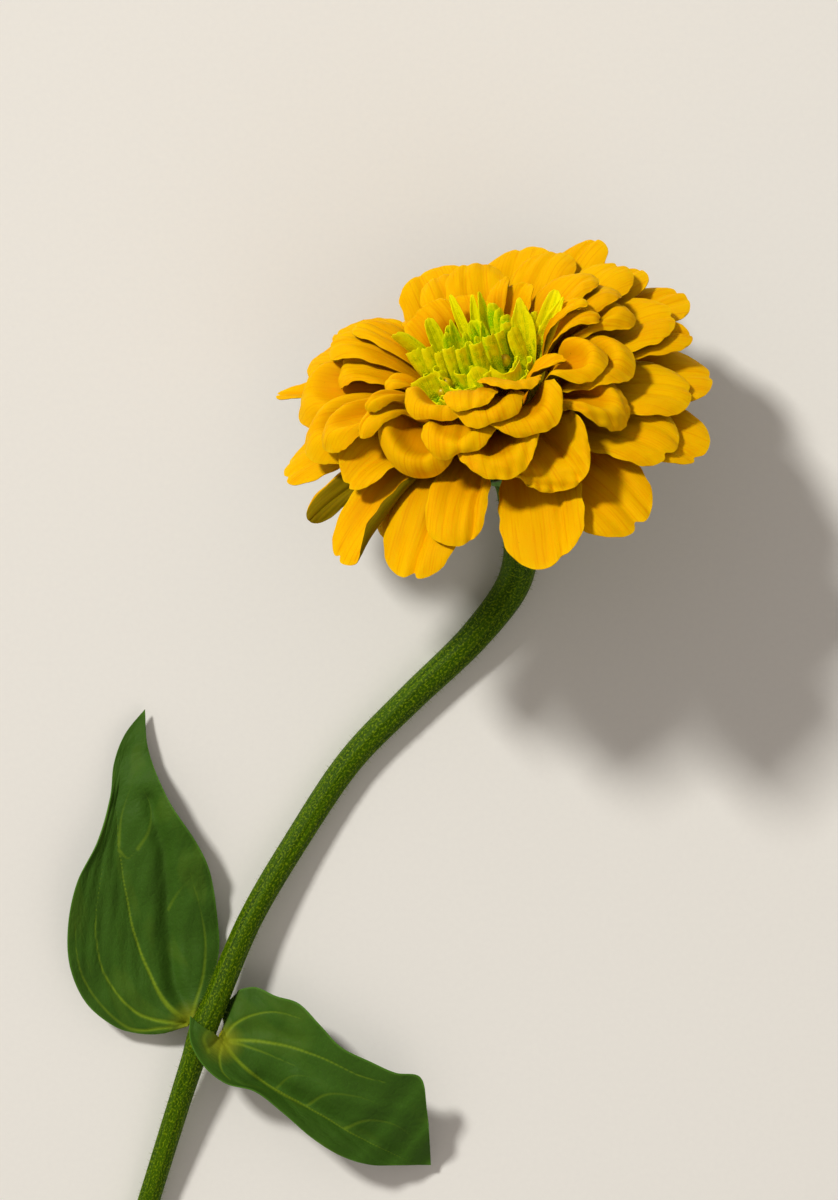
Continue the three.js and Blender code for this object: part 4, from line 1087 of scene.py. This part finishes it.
def leaf_skin():
    """Coarse leaf blade: deep green and dull, with yellowish sunken veins, a fine net between them, sheen
    painted in olive blotches and a highlight painted along its margin.
    """
    return finish(
        "zinnia leaf blade", dict(blotch_and_sheen=(6, 20, 3), grit=(0.35, 0.35, 2), net=(1.25, 1.818, None)),
        "#041A00", [
            # The second blotch coat paints sheen as olive patches; the first varies the green.
            ("blotch_and_sheen", 0.4, 0.52, 0.9, "#0C2C02"), ("blotch_and_sheen", 0.52, 0.6, 0.8, "#3A4A0A"),
            ("net", 0.06, 0.0, 0.3, "#1F4808"), ("grit", 0.56, 0.66, 0.5, "#2A5008"),
            ("vein", 0.08, 0.6, 0.95, "#93A818"), ("node", 0.08, 0.95, 0.85, "#B8B010"),
            # The edge coat paints a pale highlight along the margin, where the edge and its hairs catch
            # light.
            ("edge", 0.97, 0.995, 0.7, "#5C9230"), ("under", 0, 1, 0.55, "#4C7626"),
        ],
        [("net", 0.15), ("grit", 0.05)],
        Roughness=0.55, Specular_IOR_Level=0.07,
        Subsurface_Weight=0.05, Subsurface_Radius=(0.4, 1.0, 0.1), Subsurface_Scale=0.6 * MM)


def hair_skin():
    """Stiff plant hair: glassy and whitish green."""
    return finish(
        "stem hair", dict(dapple=(0.5, 0.5, 2)),
        "#7E9830", [("dapple", 0.4, 0.7, 0.5, "#98AE4C")], [("dapple", 0.01)], Roughness=0.35)


def table_top():
    """Rolled paper on the table: matt, pale and plain, with faint fibres about 1 mm long."""
    material, tree, surface = plain_material("studio paper")
    place = add(tree, "ShaderNodeTexCoord").outputs["Object"]
    fibre = add(tree, "ShaderNodeTexNoise", {"Vector": place, "Scale": 900.0})
    ends = {6: linear("#ECEFF3"), 7: linear("#F0F3F6")}
    pale = add(tree, "ShaderNodeMix", {0: fibre, **ends}, data_type="RGBA")
    tree.links.new(pale.outputs[2], surface.inputs["Base Color"])
    surface.inputs["Roughness"].default_value = 0.9
    return material


def hair_tree(hair):
    """Hairs all over a surface, each a slim cone that leans a little off the surface's normal."""
    tree = bpy.data.node_groups.new("hairs on a surface", "GeometryNodeTree")
    face = tree.interface
    face.new_socket("Surface", in_out="INPUT", socket_type="NodeSocketGeometry")
    for name in ("Length", "Radius", "Density"):
        face.new_socket(name, in_out="INPUT", socket_type="NodeSocketFloat")
    face.new_socket("Hairs", in_out="OUTPUT", socket_type="NodeSocketGeometry")
    given = add(tree, "NodeGroupInput").outputs
    spots = add(tree, "GeometryNodeDistributePointsOnFaces",
                {"Mesh": given["Surface"], "Density": given["Density"], "Seed": 4})
    cone = add(tree, "GeometryNodeMeshCone", {
        "Vertices": 3, "Radius Top": 0.0, "Radius Bottom": given["Radius"], "Depth": given["Length"],
    }, fill_type="NONE")
    size = add(tree, "FunctionNodeRandomValue", {2: 0.45, 3: 1.15, "Seed": 7}, data_type="FLOAT")
    lean = add(tree, "FunctionNodeRandomValue", {0: (-HAIR_LEAN,) * 3, 1: (HAIR_LEAN,) * 3, "Seed": 8},
               data_type="FLOAT_VECTOR")
    way = add(tree, "ShaderNodeVectorMath", {0: spots.outputs["Normal"], 1: lean}, operation="ADD")
    turn = add(tree, "FunctionNodeAlignRotationToVector", {"Vector": way}, axis="Z")
    placed = add(tree, "GeometryNodeInstanceOnPoints", {
        "Points": spots, "Instance": cone, "Rotation": turn, "Scale": size.outputs[1],
    })
    real = add(tree, "GeometryNodeRealizeInstances", {"Geometry": placed})
    done = add(tree, "GeometryNodeSetMaterial", {"Geometry": real, "Material": hair})
    add(tree, "NodeGroupOutput", {"Hairs": done})
    return tree


def grow_hairs(name, surface, tree, sizes):
    """Bakes a hair tree on a copy of a finished surface into a plain mesh. The table presses hairs flat."""
    grown = in_scene(name, surface.data.copy())
    modifier = grown.modifiers.new("hairs", "NODES")
    modifier.node_group = tree
    sockets = {item.name: item.identifier for item in tree.interface.items_tree if item.in_out == "INPUT"}
    for key, value in sizes.items():
        modifier[sockets[key]] = value
    bpy.context.view_layer.update()
    evaluated = grown.evaluated_get(bpy.context.evaluated_depsgraph_get())
    baked = bpy.data.meshes.new_from_object(evaluated)
    grown.modifiers.remove(modifier)
    spots = np.empty(3 * len(baked.vertices))
    baked.vertices.foreach_get("co", spots)
    spots[2::3] = np.maximum(spots[2::3], LEAST_HEIGHT * MM)
    baked.vertices.foreach_set("co", spots)
    baked.update()
    grown.data = baked
    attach(grown, "root")


def area_light(name, way, distance, size, power, colour):
    """A square soft light that looks at the head from a direction. Distance and size are in metres."""
    way = np.array(way) / np.linalg.norm(way)
    light = bpy.data.lights.new(name, "AREA")
    light.size = size
    light.energy = power
    light.color = linear(colour)[:3]
    lamp = in_scene(name, light)
    lamp.location = (HEAD + TO_ORIGIN) * MM + way * distance
    lamp.rotation_euler = (math.acos(way[2]), 0, math.atan2(way[0], -way[1]))


def light_studio():
    world = bpy.data.worlds.new("studio")
    world.use_nodes = True
    world.node_tree.nodes["Background"].inputs["Color"].default_value = linear("#FFF0E0")
    world.node_tree.nodes["Background"].inputs["Strength"].default_value = 0.3
    bpy.context.scene.world = world
    area_light("key", (-0.52, 0.5, 0.69), distance=4.0, size=0.55, power=130, colour="#FFF8EA")
    area_light("fill", (0.35, -0.6, 0.72), distance=4.0, size=2.5, power=16, colour="#FFF0DE")
    bpy.context.scene.view_settings.view_transform = "Standard"


def lay_floor(top):
    """A sheet of the table's top that runs far past the picture, in metres."""
    half = 8.0
    corners = [(-half, -half, 0), (half, -half, 0), (half, half, 0), (-half, half, 0)]
    mesh = bpy.data.meshes.new("floor")
    mesh.from_pydata(corners, [], [[0, 1, 2, 3]])
    mesh.materials.append(top)
    floor = in_scene("floor", mesh)


def set_camera():
    """The photograph's viewpoint: straight over the middle of its frame."""
    camera = bpy.data.cameras.new("camera")
    camera.sensor_fit = "VERTICAL"
    camera.sensor_height = 36
    camera.lens = camera.sensor_height / (PHOTO_HEIGHT * MM_PER_PIXEL_PER_MM)
    camera.clip_start = 0.01
    seen = in_scene("camera", camera)
    seen.location = (np.array([0, 0, VIEW_HEIGHT]) + TO_ORIGIN) * MM
    bpy.context.scene.camera = seen


def build_flower():
    petal_material = petal_skin()
    outer, inner = petal_parts()
    make_piece("outer_petals", outer + [receptacle()], petal_material, "ray_petals")
    make_piece("inner_petals", inner, petal_material, "ray_petals")
    make_piece("florets", floret_parts(), floret_skin(), "disc_florets")
    make_piece("buds", [bud_part(bud) for bud in BUDS], bud_skin())
    make_piece("bract_cup", cup_parts(), bract_skin(), "involucre")
    stem = make_piece("stem_skin", [stem_part()], stem_skin(), "stem")
    leaf_material = leaf_skin()
    make_piece("leaf_left_blade", [leaf_part(LEAF_LEFT)], leaf_material, "leaf_left")
    make_piece("leaf_right_blade", [leaf_part(LEAF_RIGHT)], leaf_material, "leaf_right")
    sizes = {"Length": HAIR_LENGTH * MM, "Radius": HAIR_RADIUS * MM, "Density": HAIRS_PER_SQUARE_MM / MM ** 2}
    grow_hairs("stem_hairs", stem, hair_tree(hair_skin()), sizes)


set_camera()
build_flower()
lay_floor(table_top())
light_studio()
